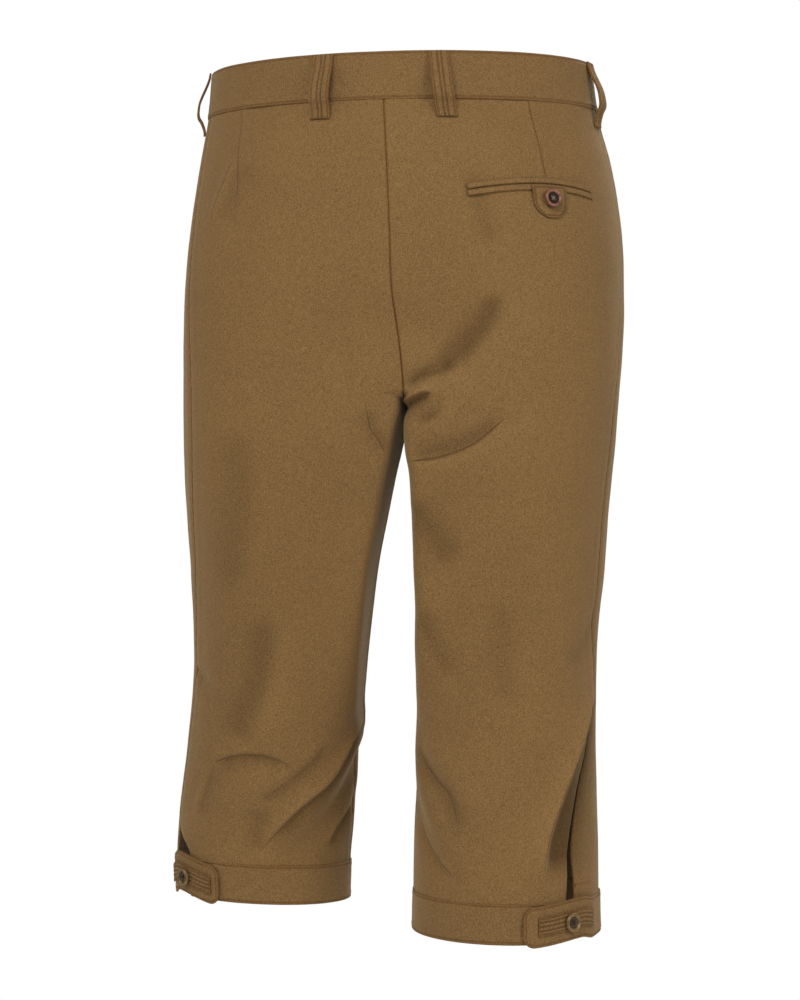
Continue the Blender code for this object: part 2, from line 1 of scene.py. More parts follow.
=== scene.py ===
# %% [markdown]
# # Knee breeches in brushed moleskin
#
# This lesson dresses a plain CAD part as a real garment: four leg panels, a waistband with belt loops, a
# jetted back pocket, and knee bands that button with a strap. The CAD part, called the frame, already has
# the right size and the main folds. We keep its places and give each cloth piece a fine surface: soft
# creases, sewn edges, darts, thread and a brushed nap.

import math

import bpy
import numpy as np
from mathutils import Matrix, Vector, noise


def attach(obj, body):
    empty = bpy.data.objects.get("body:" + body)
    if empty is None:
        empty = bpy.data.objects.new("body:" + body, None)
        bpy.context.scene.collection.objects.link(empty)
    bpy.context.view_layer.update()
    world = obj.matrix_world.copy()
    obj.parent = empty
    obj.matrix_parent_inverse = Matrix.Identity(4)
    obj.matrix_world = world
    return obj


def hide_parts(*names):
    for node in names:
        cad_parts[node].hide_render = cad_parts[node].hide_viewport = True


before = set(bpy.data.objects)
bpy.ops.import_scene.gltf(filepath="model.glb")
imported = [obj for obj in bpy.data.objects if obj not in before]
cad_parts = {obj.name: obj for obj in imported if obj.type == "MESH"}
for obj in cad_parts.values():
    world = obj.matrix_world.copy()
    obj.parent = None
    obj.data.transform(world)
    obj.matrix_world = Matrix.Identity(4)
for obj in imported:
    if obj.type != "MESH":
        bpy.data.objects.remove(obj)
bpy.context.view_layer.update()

# %% [markdown]
# ## Camera, light and floor
#
# A garment is best shown with a long lens and big soft lights, so that nothing is distorted and no shadow
# is hard. A short lens close by would take less room, but it would make the near knee look larger than the
# far one. The camera looks at the back, a little from the wearer's right. The wearer who holds the breeches
# up isn't shown, so the floor is as far below the knee bands as a real one.

# %% Camera
VIEW_AZIMUTH = math.radians(187.5)
CAMERA_DISTANCE = 2.6
CAMERA_HEIGHT = -0.338
CAMERA_ASIDE = 0.0025
LENS_MM = 112.3


def add_camera():
    back = Vector((math.sin(VIEW_AZIMUTH), -math.cos(VIEW_AZIMUTH), 0))
    right = back.cross(Vector((0, 0, -1)))
    camera = bpy.data.objects.new("camera", bpy.data.cameras.new("camera"))
    bpy.context.scene.collection.objects.link(camera)
    camera.location = back * CAMERA_DISTANCE - right * CAMERA_ASIDE + Vector((0, 0, CAMERA_HEIGHT))
    camera.rotation_euler = back.to_track_quat("Z", "Y").to_euler()
    camera.data.lens = LENS_MM
    bpy.context.scene.camera = camera
    return camera


print("camera at", [round(value, 3) for value in add_camera().location])

# %% Soft lights, white surroundings and a pale floor
FLOOR_HEIGHT, FLOOR_RADIUS, FLOOR_SIDES = -1.15, 2.3, 96
FLOOR_PAINT, FLOOR_ROUGHNESS = (0.88, 0.88, 0.87, 1), 0.8
# name, x, y, z, size, watts
LIGHTS = (
    ("key", 0.3, 2.3, 1.5, 1.3, 44),
    ("side_left", 2.3, 0.9, 0.4, 1.5, 15),
    ("side_right", -2.1, 1.5, 0.3, 1.5, 27),
    ("front_key", -0.7, -2.2, 1.5, 1.3, 44),
)
LIGHTS_AIM = (0, 0, -0.3)
AMBIENT = 0.20
WHITE, DAYLIGHT = (1, 1, 1, 1), (0.97, 0.985, 1, 1)


def circle_angles(count):
    return np.linspace(0, 2 * math.pi, count + 1)[:-1]


def add_lights():
    for name, x, y, z, size, watts in LIGHTS:
        light = bpy.data.lights.new(name, "AREA")
        light.size = size
        light.energy = watts
        lamp = bpy.data.objects.new(name, light)
        bpy.context.scene.collection.objects.link(lamp)
        lamp.location = (x, y, z)
        lamp.rotation_euler = (Vector((x, y, z)) - Vector(LIGHTS_AIM)).to_track_quat("Z", "Y").to_euler()


def add_surroundings():
    """White to the camera, and dimmer as light, so that the cloth keeps its shading."""
    world = bpy.data.worlds.new("studio")
    world.use_nodes = True
    nodes, links = world.node_tree.nodes, world.node_tree.links
    nodes.clear()
    seen, lit = nodes.new("ShaderNodeBackground"), nodes.new("ShaderNodeBackground")
    seen.inputs["Color"].default_value = WHITE
    lit.inputs["Color"].default_value = DAYLIGHT
    lit.inputs["Strength"].default_value = AMBIENT
    path, mix, out = (nodes.new(f"ShaderNode{kind}") for kind in ("LightPath", "MixShader", "OutputWorld"))
    links.new(path.outputs["Is Camera Ray"], mix.inputs[0])
    links.new(lit.outputs[0], mix.inputs[1])
    links.new(seen.outputs[0], mix.inputs[2])
    links.new(mix.outputs[0], out.inputs["Surface"])
    bpy.context.scene.world = world


def add_floor():
    angles = circle_angles(FLOOR_SIDES)
    rim = [(FLOOR_RADIUS * math.cos(a), FLOOR_RADIUS * math.sin(a), FLOOR_HEIGHT) for a in angles]
    mesh = bpy.data.meshes.new("floor")
    mesh.from_pydata(rim, [], [range(len(rim))])
    paint = bpy.data.materials.new("pale_floor")
    paint.use_nodes = True
    shader = paint.node_tree.nodes["Principled BSDF"]
    shader.inputs["Base Color"].default_value = FLOOR_PAINT
    shader.inputs["Roughness"].default_value = FLOOR_ROUGHNESS
    mesh.materials.append(paint)
    floor = bpy.data.objects.new("floor", mesh)
    bpy.context.scene.collection.objects.link(floor)


add_lights()
add_surroundings()
add_floor()
bpy.context.scene.view_settings.view_transform = "Standard"
print("lights:", [row[0] for row in LIGHTS])

# %% [markdown]
# ## The form of the garment
#
# A pair of breeches is two half tubes joined along the middle seams. Each point of a half has two numbers:
# its height, and its turn, which runs from 0 at the inseam (or the middle front) by way of the side at 0.5
# and the back at 0.75 to 1 at the inseam again. A few measured sections say how wide and deep each height
# is, and a smooth curve joins them. Working from numbers like these, rather than pushing points by hand,
# lets each seam, pocket and crease be placed exactly.
#
# Two things keep the form from looking like pipes. The middle seam turns under at the fork, where the
# trunk's section gives way to the legs' closed loops. Under the seat the back of each leg hangs almost
# flat, because cloth falls straight from the fullest place, and it slants a little to the wearer's right.

# %% Sizes of the frame's own cloth
SEAM_GAP = 0.0003
# Along the middle seams the two halves meet almost shut, so that no light passes.
MIDDLE_GAP = 0.00002
WAISTBAND_HEIGHT = 0.039
KNEEBAND_HEIGHT = 0.033
# how far a band's outer face stands off the panels, and how thick faced cloth is
BAND_PROUD = 0.0010
FACED_CLOTH = 0.003
# The fork: where the middle seam starts to turn under, how deep it goes, where it ends, how sharply it
# turns, and where each leg has its own full section
FORK_TOP, FORK_DEPTH, FORK_LEVEL, FORK_POWER, LEG_LEVEL = -0.120, 0.137, -0.250, 0.8, -0.360
# how closely the fork's change keeps to the middle seam, in depth and sideways, then how square the leg's
# inner back corner is at the fork and where it is round again
SEAM_PULL, SIDE_PULL, INNER_CORNER, CORNER_ENDS = 6.0, 8.0, 4.0, -0.56
# The flat hang of a leg's back: the fork's lowest point, how far the flat lies inside the full section, how
# round its inner edge is, how wide it is and how slowly it falls away beside that
FORK_BOTTOM, FLAT_DEPTH, EDGE_ROUND, FLAT_WIDTH, FLAT_FALL = -0.2565, 0.005, 0.005, 0.030, 0.08
# how softly it blends in, over what height it comes in below the seat, where it ends, and over what height
FLAT_BLEND, FLAT_START, FLAT_ENDS, FLAT_END = 0.003, 0.05, -0.600, 0.20
# how far it slants, where that starts, over what height it comes in, and how much of the back takes part
SLANT, SLANT_FROM, SLANT_START, SLANT_SHARE = 0.007, -0.16, 0.08, 1.5
# metres of cloth to one turn, for distances on the cloth laid flat
GIRTH = 0.50
# the slope of the waist per metre to +X, and how far down it reaches
WAIST_RISE, WAIST_RISE_DEPTH = -0.014, 0.055
# Turns are counted again from 0 only beyond this, so that 1 itself stays the last edge.
ONE_TURN = 1.0 + 1e-9
# These keep a sum of powers and a distance from being 0 where they are divided by.
LEAST_SUM, LEAST_DISTANCE = 1e-9, 1e-5
LEFT, RIGHT = 1, -1
NAMES = {LEFT: "left", RIGHT: "right"}

# %% Tables of sections
# Sections of the trunk. height, front, back, width_power, depth_power
TRUNK = np.array(
    (
        (0.022, 0.117, 0.118, 1.00, 1.00),
        (-0.020, 0.118, 0.119, 1.00, 1.00),
        (-0.060, 0.119, 0.128, 0.94, 0.92),
        (-0.095, 0.118, 0.132, 0.89, 0.84),
        (-0.140, 0.115, 0.134, 0.86, 0.76),
        (-0.180, 0.112, 0.133, 0.86, 0.68),
        (-0.240, 0.108, 0.128, 0.86, 0.60),
        (-0.360, 0.100, 0.118, 0.86, 0.60),
    )
)

# The line between the halves, and half the way from one inseam to the other. height, middle_x, half_gap
BETWEEN = np.array(
    (
        (0.022, 0.0000, 0.0),
        (-0.020, 0.0000, 0.0),
        (-0.060, -0.0030, 0.0),
        (-0.110, -0.0058, 0.0),
        (-0.180, -0.0080, 0.0),
        (-0.230, -0.0090, 0.0),
        (-0.257, -0.0072, 0.0),
        (-0.277, -0.0045, 0.0018),
        (-0.296, -0.0029, 0.0042),
        (-0.313, -0.0022, 0.0076),
        (-0.346, 0.0004, 0.0119),
        (-0.397, 0.0052, 0.0179),
        (-0.448, 0.0081, 0.0218),
        (-0.500, 0.0102, 0.0254),
        (-0.550, 0.0134, 0.0273),
        (-0.600, 0.0168, 0.0298),
        (-0.640, 0.0191, 0.0314),
        (-0.700, 0.0206, 0.0318),
    )
)

# Sections of each half from waist to hem. height, outer, centre_y, depth
HALF = {
    LEFT: np.array(
        (
            (0.022, 0.1590, 0.012, 0.116),
            (-0.020, 0.1630, 0.012, 0.116),
            (-0.060, 0.1692, 0.012, 0.116),
            (-0.110, 0.1754, 0.012, 0.116),
            (-0.180, 0.1799, 0.012, 0.115),
            (-0.257, 0.1806, 0.012, 0.112),
            (-0.296, 0.1808, 0.009, 0.109),
            (-0.346, 0.1808, 0.002, 0.102),
            (-0.397, 0.1788, -0.005, 0.095),
            (-0.448, 0.1778, -0.012, 0.088),
            (-0.500, 0.1802, -0.018, 0.083),
            (-0.550, 0.1864, -0.025, 0.080),
            (-0.600, 0.1935, -0.032, 0.078),
            (-0.640, 0.1975, -0.037, 0.077),
            (-0.680, 0.1970, -0.042, 0.077),
        )
    ),
    RIGHT: np.array(
        (
            (0.022, -0.1560, 0.012, 0.116),
            (-0.020, -0.1618, 0.012, 0.116),
            (-0.060, -0.1722, 0.012, 0.116),
            (-0.110, -0.1807, 0.012, 0.116),
            (-0.180, -0.1834, 0.012, 0.115),
            (-0.257, -0.1797, 0.012, 0.112),
            (-0.296, -0.1770, 0.011, 0.109),
            (-0.346, -0.1722, 0.011, 0.102),
            (-0.397, -0.1683, 0.012, 0.095),
            (-0.448, -0.1636, 0.013, 0.088),
            (-0.500, -0.1620, 0.015, 0.083),
            (-0.550, -0.1626, 0.016, 0.080),
            (-0.600, -0.1636, 0.017, 0.078),
            (-0.640, -0.1642, 0.018, 0.078),
            (-0.700, -0.1650, 0.019, 0.078),
        )
    ),
}

# Where the outseam lies, and how far the knee vent opens. height, front_edge, opening
OUTSEAM = {
    LEFT: np.array(
        (
            (-0.020, 0.590, 0.0),
            (-0.120, 0.617, 0.0),
            (-0.210, 0.612, 0.0),
            (-0.330, 0.598, 0.0),
            (-0.440, 0.580, 0.0),
            (-0.540, 0.562, 0.0),
            (-0.600, 0.550, 0.002),
            (-0.615, 0.547, 0.014),
            (-0.632, 0.546, 0.066),
            (-0.680, 0.550, 0.066),
        )
    ),
    RIGHT: np.array(
        (
            (-0.020, 0.525, 0.0),
            (-0.120, 0.505, 0.0),
            (-0.210, 0.519, 0.0),
            (-0.280, 0.535, 0.0),
            (-0.400, 0.542, 0.0),
            (-0.530, 0.538, 0.0),
            (-0.571, 0.583, 0.004),
            (-0.610, 0.604, 0.007),
            (-0.655, 0.606, 0.018),
            (-0.700, 0.606, 0.018),
        )
    ),
}
# Hem height at the leg's middle, and how much the hem rises per metre to +X and to +Y.
HEM = {LEFT: (-0.672, 0.047, 0.0), RIGHT: (-0.6905, 0.014, -0.045)}
HEM_TILT_FROM, HEM_TILT_DEPTH = -0.50, 0.14
print("sections:", len(TRUNK), "of the trunk,", len(HALF[LEFT]), "and", len(HALF[RIGHT]), "of the legs")


# %% Reading the sections
def smooth_column(table, column, height):
    """Reads one column of a section table at any height, on a smooth curve through its rows."""
    heights = -table[:, 0]
    values = table[:, column]
    slopes = np.gradient(values, heights)
    at = np.clip(-np.asarray(height, float), heights[0], heights[-1])
    row = np.clip(np.searchsorted(heights, at, side="right") - 1, 0, len(heights) - 2)
    step = heights[row + 1] - heights[row]
    t = (at - heights[row]) / step
    return (
        (2 * t**3 - 3 * t**2 + 1) * values[row]
        + (t**3 - 2 * t**2 + t) * step * slopes[row]
        + (3 * t**2 - 2 * t**3) * values[row + 1]
        + (t**3 - t**2) * step * slopes[row + 1]
    )


def ease(value):
    """0 below 0, 1 above 1, and a soft step between."""
    t = np.clip(value, 0, 1)
    return t * t * (3 - 2 * t)


def power(value, exponent):
    return np.sign(value) * np.abs(value) ** exponent


def bell(distance, width):
    """1 on a line, and falling away softly beside it."""
    return np.exp(-((distance / width) ** 2))


# %% Sections of trunk and leg
def half_section(side, height):
    """A half's outer and inner edge, and the centre and depth of its leg."""
    outer, centre_y, depth = (smooth_column(HALF[side], column, height) for column in (1, 2, 3))
    half_gap = np.maximum(smooth_column(BETWEEN, 2, height), 0) + MIDDLE_GAP / 2
    inner = smooth_column(BETWEEN, 1, height) + side * half_gap
    return outer, inner, centre_y, depth


def trunk_section(turn, height, half):
    """An open arc from the middle front by way of the side to the middle back."""
    outer, inner, _, _ = half
    front, back, width_power, depth_power = (smooth_column(TRUNK, column, height) for column in (1, 2, 3, 4))
    half_angle = math.pi * np.mod(turn, ONE_TURN)
    sideways = power(np.sin(half_angle), width_power)
    forward = power(np.cos(half_angle), depth_power)
    return inner + (outer - inner) * sideways, -np.where(forward > 0, front, back) * forward


def leg_section(angle, height, half):
    """A closed loop, whose inner back corner is squarer near the fork."""
    outer, inner, centre_y, depth = half
    square = 2 + (INNER_CORNER - 2) * ease((height - CORNER_ENDS) / (FORK_LEVEL - CORNER_ENDS))
    inward, back_on = np.maximum(np.cos(angle), 0), np.maximum(-np.sin(angle), 0)
    full = np.where(inward * back_on > 0, (inward**square + back_on**square + LEAST_SUM) ** (-1 / square), 1)
    x = (outer + inner) / 2 - (outer - inner) / 2 * full * np.cos(angle)
    return x, centre_y - depth * full * np.sin(angle)


# %% Fork and flat back
def fork_shares(angle, height):
    """The share of the leg's section, sideways and in depth, and how far the seam draws the cloth down."""
    at_seam = 0.5 + 0.5 * np.cos(angle)
    near_seam = at_seam**SEAM_PULL
    down_fork = np.clip((FORK_TOP - height) / (FORK_TOP - FORK_LEVEL), 0, 1)
    fork_angle = math.pi / 2 * ease(down_fork)
    leg_share = ease((FORK_TOP - height) / (FORK_TOP - LEG_LEVEL))
    share_x = leg_share + (ease(down_fork) - leg_share) * at_seam**SIDE_PULL
    share_y = leg_share + (1 - power(np.cos(fork_angle), FORK_POWER) - leg_share) * near_seam

    crotch_drop = FORK_LEVEL - (FORK_TOP - FORK_DEPTH)
    below_fork = ease((FORK_LEVEL - height) / (FORK_LEVEL - LEG_LEVEL))
    on_fork = FORK_TOP - FORK_DEPTH * power(np.sin(fork_angle), FORK_POWER)
    down_leg = height - crotch_drop * (1 - below_fork)
    seam_height = np.select((height > FORK_TOP, height > FORK_LEVEL), (height, on_fork), down_leg)
    return share_x, share_y, (seam_height - height) * near_seam


def hang_flat(side, angle, height, place, half):
    """Moves the back of a leg out to the plane in which it hangs, and slants it. Returns x and y."""
    x, y, z = place
    _, inner, centre_y, depth = half
    at_back = angle > math.pi
    inside = np.maximum(side * (x - inner), 0)
    to_edge = np.hypot(inside, np.maximum(z - FORK_BOTTOM, 0)) + LEAST_DISTANCE
    flat = centre_y + depth - FLAT_DEPTH - EDGE_ROUND**2 / to_edge
    flat = flat - np.maximum(inside - FLAT_WIDTH, 0) ** 2 / FLAT_FALL
    hung = (y + flat + np.sqrt((y - flat) ** 2 + FLAT_BLEND**2)) / 2
    above_knee = ease((height - FLAT_ENDS) / FLAT_END)
    hanging = ease((FORK_TOP - height) / FLAT_START) * above_knee
    y = np.where(at_back, y + (hung - y) * hanging, y)
    slant = SLANT * ease((SLANT_FROM - z) / SLANT_START) * above_knee
    toward_back = np.maximum(y - centre_y, 0) / depth
    return np.where(at_back, x - slant * toward_back * ease(SLANT_SHARE * np.cos(angle)), x), y


# %% The whole form of a half
def body_form(side, turn, height):
    """The smooth form of one half: a trunk section above, a closed leg loop below, joined along the fork."""
    turn, height = np.broadcast_arrays(np.asarray(turn, float), np.asarray(height, float))
    angle = 2 * math.pi * turn
    half = half_section(side, height)
    outer, inner, centre_y, _ = half
    trunk_x, trunk_y = trunk_section(turn, height, half)
    leg_x, leg_y = leg_section(angle, height, half)
    share_x, share_y, drawn_down = fork_shares(angle, height)
    x = trunk_x + (leg_x - trunk_x) * share_x
    y = trunk_y + (leg_y - trunk_y) * share_y
    z = height + drawn_down
    x, y = hang_flat(side, angle, height, (x, y, z), half)

    _, rise_x, rise_y = HEM[side]
    tilt = ease((HEM_TILT_FROM - height) / HEM_TILT_DEPTH)
    z = z + tilt * (rise_x * (x - (outer + inner) / 2) + rise_y * (y - centre_y))
    z = z + WAIST_RISE * x * ease(1 + height / WAIST_RISE_DEPTH)
    return np.stack((x, y, z), axis=-1)


def outward(side, turn, height, step=0.002):
    """Unit normals of the smooth form, from the slope between points a small step apart."""
    on_half = np.mod(turn, ONE_TURN)
    ahead, behind = np.minimum(on_half + step, 1), np.maximum(on_half - step, 0)
    along = body_form(side, ahead, height) - body_form(side, behind, height)
    up = body_form(side, turn, height + step) - body_form(side, turn, height - step)
    normal = side * np.cross(along, up)
    return normal / np.linalg.norm(normal, axis=-1, keepdims=True)


print("seat depth", round(float(np.ptp(body_form(LEFT, np.array((0.0, 1.0)), -0.1)[:, 1])), 3), "m")

# %% [markdown]
# ## Folds and creases
#
# Moleskin is thick, so it falls in a few broad folds, and only where it is pinched, at the crotch, above
# the knee bands and at the vents, does it crease sharply. A crease is a short curve on the cloth with a
# rise on each of its sides. Equal rises make a ridge or a trough. A rise on one side and a dip on the other
# make the small step that a fold of heavy cloth shows. A table of such curves is quicker than cloth
# simulation, gives the same result each time, and each crease can be moved by itself.
#
# The sharpest creases also have a pressed line, a fine valley along the crease itself, which the shader
# draws with a little relief and a painted shade. The mesh carries the distance to that line for the
# cloth's shader to draw it. The distance has a sign, one on each side of the line, so that it passes
# through zero on the line, also between two points of the mesh.

# %% Tables of folds and creases
# Soft folds, which the frame has too. side, three points as turn and height, half width, rise
FOLDS = (
    (LEFT, 1.020, -0.520, 0.920, -0.552, 0.780, -0.634, 0.011, 0.0050),
    (LEFT, 1.020, -0.545, 0.935, -0.580, 0.830, -0.640, 0.012, -0.0045),
    (LEFT, 1.010, -0.585, 0.960, -0.598, 0.905, -0.632, 0.008, -0.0025),
    (LEFT, 0.610, -0.590, 0.680, -0.522, 0.840, -0.570, 0.010, -0.0025),
    (LEFT, 0.650, -0.615, 0.730, -0.560, 0.800, -0.600, 0.020, 0.0030),
    (LEFT, 0.560, -0.475, 0.610, -0.480, 0.660, -0.505, 0.010, -0.0018),
    (LEFT, 0.690, -0.300, 0.710, -0.400, 0.680, -0.500, 0.030, 0.0040),
    (LEFT, 0.110, -0.520, 0.250, -0.500, 0.390, -0.530, 0.014, 0.0035),
    (LEFT, 0.130, -0.570, 0.260, -0.555, 0.400, -0.585, 0.014, -0.0030),
    (LEFT, 0.110, -0.225, 0.180, -0.210, 0.260, -0.185, 0.012, -0.0025),
    (LEFT, 0.120, -0.270, 0.200, -0.260, 0.300, -0.235, 0.014, 0.0030),
    (RIGHT, 0.540, -0.505, 0.620, -0.560, 0.668, -0.640, 0.012, 0.0050),
    (RIGHT, 0.620, -0.570, 0.645, -0.610, 0.645, -0.650, 0.008, -0.0020),
    (RIGHT, 0.980, -0.575, 0.895, -0.610, 0.820, -0.650, 0.011, -0.0028),
    (RIGHT, 0.960, -0.510, 0.885, -0.562, 0.815, -0.602, 0.013, -0.0020),
    (RIGHT, 0.950, -0.545, 0.885, -0.590, 0.815, -0.625, 0.013, 0.0025),
    (RIGHT, 0.940, -0.425, 0.890, -0.440, 0.845, -0.472, 0.016, -0.0025),
    (RIGHT, 0.510, -0.420, 0.550, -0.450, 0.600, -0.490, 0.016, -0.0020),
    (RIGHT, 0.900, -0.299, 0.820, -0.305, 0.745, -0.268, 0.010, -0.0025),
    (RIGHT, 0.870, -0.330, 0.800, -0.325, 0.740, -0.290, 0.020, 0.0030),
    (RIGHT, 0.970, -0.212, 0.910, -0.208, 0.860, -0.182, 0.011, -0.0025),
    (RIGHT, 0.110, -0.530, 0.250, -0.515, 0.390, -0.540, 0.014, 0.0035),
    (RIGHT, 0.130, -0.580, 0.260, -0.570, 0.400, -0.600, 0.014, -0.0030),
    (RIGHT, 0.110, -0.225, 0.180, -0.210, 0.260, -0.185, 0.012, -0.0025),
)

# Sharper creases, on a chart with turn to the right and height upwards. side, points, then for the cloth on
# the left hand as one walks along them, and for that on the right hand, in millimetres: rise at the line,
# how far it reaches, and where there is one, a swell beyond it and how far away that swell is highest. The
# last value is the breadth of the pressed line along the crease, in PRESS_WIDTHs, where 0 is none.
CREASES = (
    (LEFT, ((0.774, -0.625), (0.827, -0.595), (0.890, -0.569), (0.947, -0.539), (0.997, -0.520)),
     (1.8, 9), (-3.0, 12), 0.90),
    (LEFT, ((0.754, -0.588), (0.807, -0.573), (0.855, -0.554), (0.880, -0.538)),
     (-1.6, 5, 0.6, 9), (-1.6, 6), 0.00),
    (LEFT, ((0.904, -0.624), (0.940, -0.605), (0.990, -0.590)),
     (1.6, 7), (-2.0, 8), 0.25),
    (LEFT, ((0.654, -0.557), (0.698, -0.550), (0.735, -0.548), (0.770, -0.549), (0.815, -0.557)),
     (1.1, 9), (-1.9, 11), 0.35),
    (LEFT, ((0.633, -0.602), (0.643, -0.580), (0.654, -0.557)),
     (0.7, 8), (-1.5, 12), 0.00),
    (LEFT, ((0.564, -0.474), (0.593, -0.480), (0.614, -0.490)),
     (1.2, 5), (-1.2, 5), 0.50),
    (LEFT, ((0.696, -0.110), (0.718, -0.085), (0.741, -0.058)),
     (1.4, 6), (1.0, 8, -0.8, 11), 0.35),
    (LEFT, ((0.742, -0.425), (0.748, -0.470), (0.716, -0.515), (0.700, -0.538)),
     (-1.8, 13), (-1.8, 15), 0.00),
    (LEFT, ((0.787, -0.430), (0.786, -0.490), (0.760, -0.545)),
     (1.4, 12), (1.4, 12), 0.00),
    (LEFT, ((0.768, -0.590), (0.764, -0.630)),
     (-1.2, 8), (-1.2, 10), 0.00),
    (LEFT, ((0.884, -0.258), (0.887, -0.278), (0.901, -0.287), (0.932, -0.302)),
     (-1.6, 6), (-1.0, 9), 0.20),
    (LEFT, ((0.706, -0.273), (0.709, -0.321), (0.699, -0.371), (0.694, -0.419)),
     (-1.0, 14), (-1.0, 16), 0.00),
    (RIGHT, ((0.673, -0.640), (0.661, -0.605), (0.625, -0.565), (0.580, -0.527), (0.530, -0.492)),
     (2.0, 4, -5.5, 11), (2.0, 14), 0.30),
    (RIGHT, ((0.998, -0.2565), (0.940, -0.254), (0.917, -0.251), (0.905, -0.248), (0.890, -0.249)),
     (-4.5, 8), (2.4, 5), 1.70),
    (RIGHT, ((0.873, -0.249), (0.869, -0.262), (0.878, -0.272), (0.905, -0.277)),
     (-2.0, 9), (0.6, 6), 0.00),
    (RIGHT, ((0.990, -0.212), (0.955, -0.205), (0.923, -0.209), (0.901, -0.213), (0.889, -0.206)),
     (-2.6, 7, 1.6, 12), (-2.0, 8, 0.6, 16), 0.00),
    (RIGHT, ((0.905, -0.214), (0.889, -0.206), (0.871, -0.196), (0.852, -0.182), (0.845, -0.165)),
     (-2.6, 10, 1.0, 20), (-2.4, 11), 0.00),
    (RIGHT, ((0.945, -0.249), (0.927, -0.244), (0.910, -0.234), (0.885, -0.231)),
     (1.6, 6), (1.6, 6), 0.00),
    (RIGHT, ((0.880, -0.070), (0.878, -0.110), (0.865, -0.140)),
     (-1.0, 9), (-1.0, 9), 0.00),
    (RIGHT, ((0.918, -0.305), (0.867, -0.304), (0.825, -0.297), (0.795, -0.287), (0.764, -0.271)),
     (1.4, 12), (-1.8, 10), 0.75),
    (RIGHT, ((0.918, -0.335), (0.872, -0.364), (0.828, -0.391)),
     (-2.0, 13), (-2.0, 13), 0.00),
    (RIGHT, ((0.920, -0.427), (0.896, -0.443), (0.863, -0.463), (0.833, -0.482)),
     (-1.6, 9), (-1.2, 11), 0.00),
    (RIGHT, ((0.954, -0.535), (0.909, -0.553), (0.867, -0.567), (0.838, -0.578), (0.815, -0.612)),
     (-1.8, 8), (-1.8, 8, 0.8, 14), 0.35),
    (RIGHT, ((0.934, -0.599), (0.905, -0.612), (0.877, -0.623), (0.826, -0.641)),
     (-1.6, 5), (0.9, 8), 0.50),
    (RIGHT, ((0.692, -0.541), (0.673, -0.547), (0.656, -0.545)),
     (0.7, 4), (-0.9, 4), 0.00),
    (RIGHT, ((0.516, -0.420), (0.563, -0.451), (0.620, -0.476)),
     (-1.1, 9), (-0.9, 10), 0.00),
    (RIGHT, ((0.744, -0.417), (0.744, -0.457), (0.736, -0.510)),
     (-0.8, 12), (-0.8, 12), 0.00),
)
NO_SWELL = (0, 9)
# the width over which the two sides of a crease meet, the share of its length over which each end fades, and
# how far from it the cloth is searched, in metres for each millimetre of reach
CREASE_EDGE, CREASE_FADE, CREASE_SEARCH = 0.0014, 0.2, 0.0028
# the breadth below which a pressed line gets no finer where it fades
LEAST_PRESS = 0.02
# where on half a wave a soft fold starts and ends, and how many widths away from it the cloth is searched
FOLD_END, FOLD_SEARCH = 0.12, 3
# the rise at which a ridge is painted palest, and the dip at which a hollow is painted darkest
FULL_SHADE = 0.004
# the height of the slow swells that any cloth has
UNDULATION = 0.0007


# %% How far a fold lifts the cloth
def curve_through(first, bend, last, steps=17):
    """Points of a quadratic curve."""
    t = np.linspace(0, 1, steps)[:, None]
    return (1 - t) ** 2 * np.array(first) + 2 * t * (1 - t) * np.array(bend) + t**2 * np.array(last)


def follow(path, points):
    """Distance from each point to a path, share of the path passed, nearest offset, and direction there."""
    starts, steps = path[:-1], np.diff(path, axis=0)
    offsets = points[:, None] - starts
    share = np.clip((offsets * steps).sum(-1) / (steps**2).sum(-1), 0, 1)
    away = offsets - steps * share[..., None]
    distance = np.linalg.norm(away, axis=-1)
    nearest = distance.argmin(axis=1)
    row = np.arange(len(points))
    passed = (nearest + share[row, nearest]) / len(starts)
    return distance[row, nearest], passed, away[row, nearest], steps[nearest]


def fold_rise(side, turn, height):
    """The frame's soft folds, on the cloth laid flat. Below the fork the cloth closes into a tube."""
    rise = np.zeros(turn.shape)
    for fold_side, *ends, width, top in FOLDS:
        if fold_side != side:
            continue
        path = curve_through(ends[0:2], ends[2:4], ends[4:6]) * (GIRTH, 1)
        for lap in (-1, 0, 1):
            flat = np.stack(((turn + lap) * GIRTH, height), axis=-1)
            reach = FOLD_SEARCH * width
            near = ((flat > path.min(0) - reach) & (flat < path.max(0) + reach)).all(-1)
            near &= (height < FORK_LEVEL) | (lap == 0)
            if near.any():
                distance, passed, _, _ = follow(path, flat[near])
                along = np.sin(math.pi * (FOLD_END + (1 - 2 * FOLD_END) * passed))
                rise[near] += top * along * bell(distance, width)
    return rise


def smooth_path(points, steps=25):
    """A smooth curve through a few points."""
    table = np.column_stack((-np.arange(len(points)), np.array(points)))
    at = -np.linspace(0, len(points) - 1, steps)
    return np.column_stack([smooth_column(table, column, at) for column in (1, 2)])


def beside_crease(distance, start, reach, swell, swell_at):
    """Rise of the cloth at a distance on one side of a crease. All are in millimetres."""
    beyond = swell * distance / swell_at * np.exp(1 - distance / swell_at)
    return start * bell(distance, reach) + beyond


def nearer(first, second):
    """Of two signed distances to lines, the nearer one."""
    return np.where(abs(second) < abs(first), second, first)


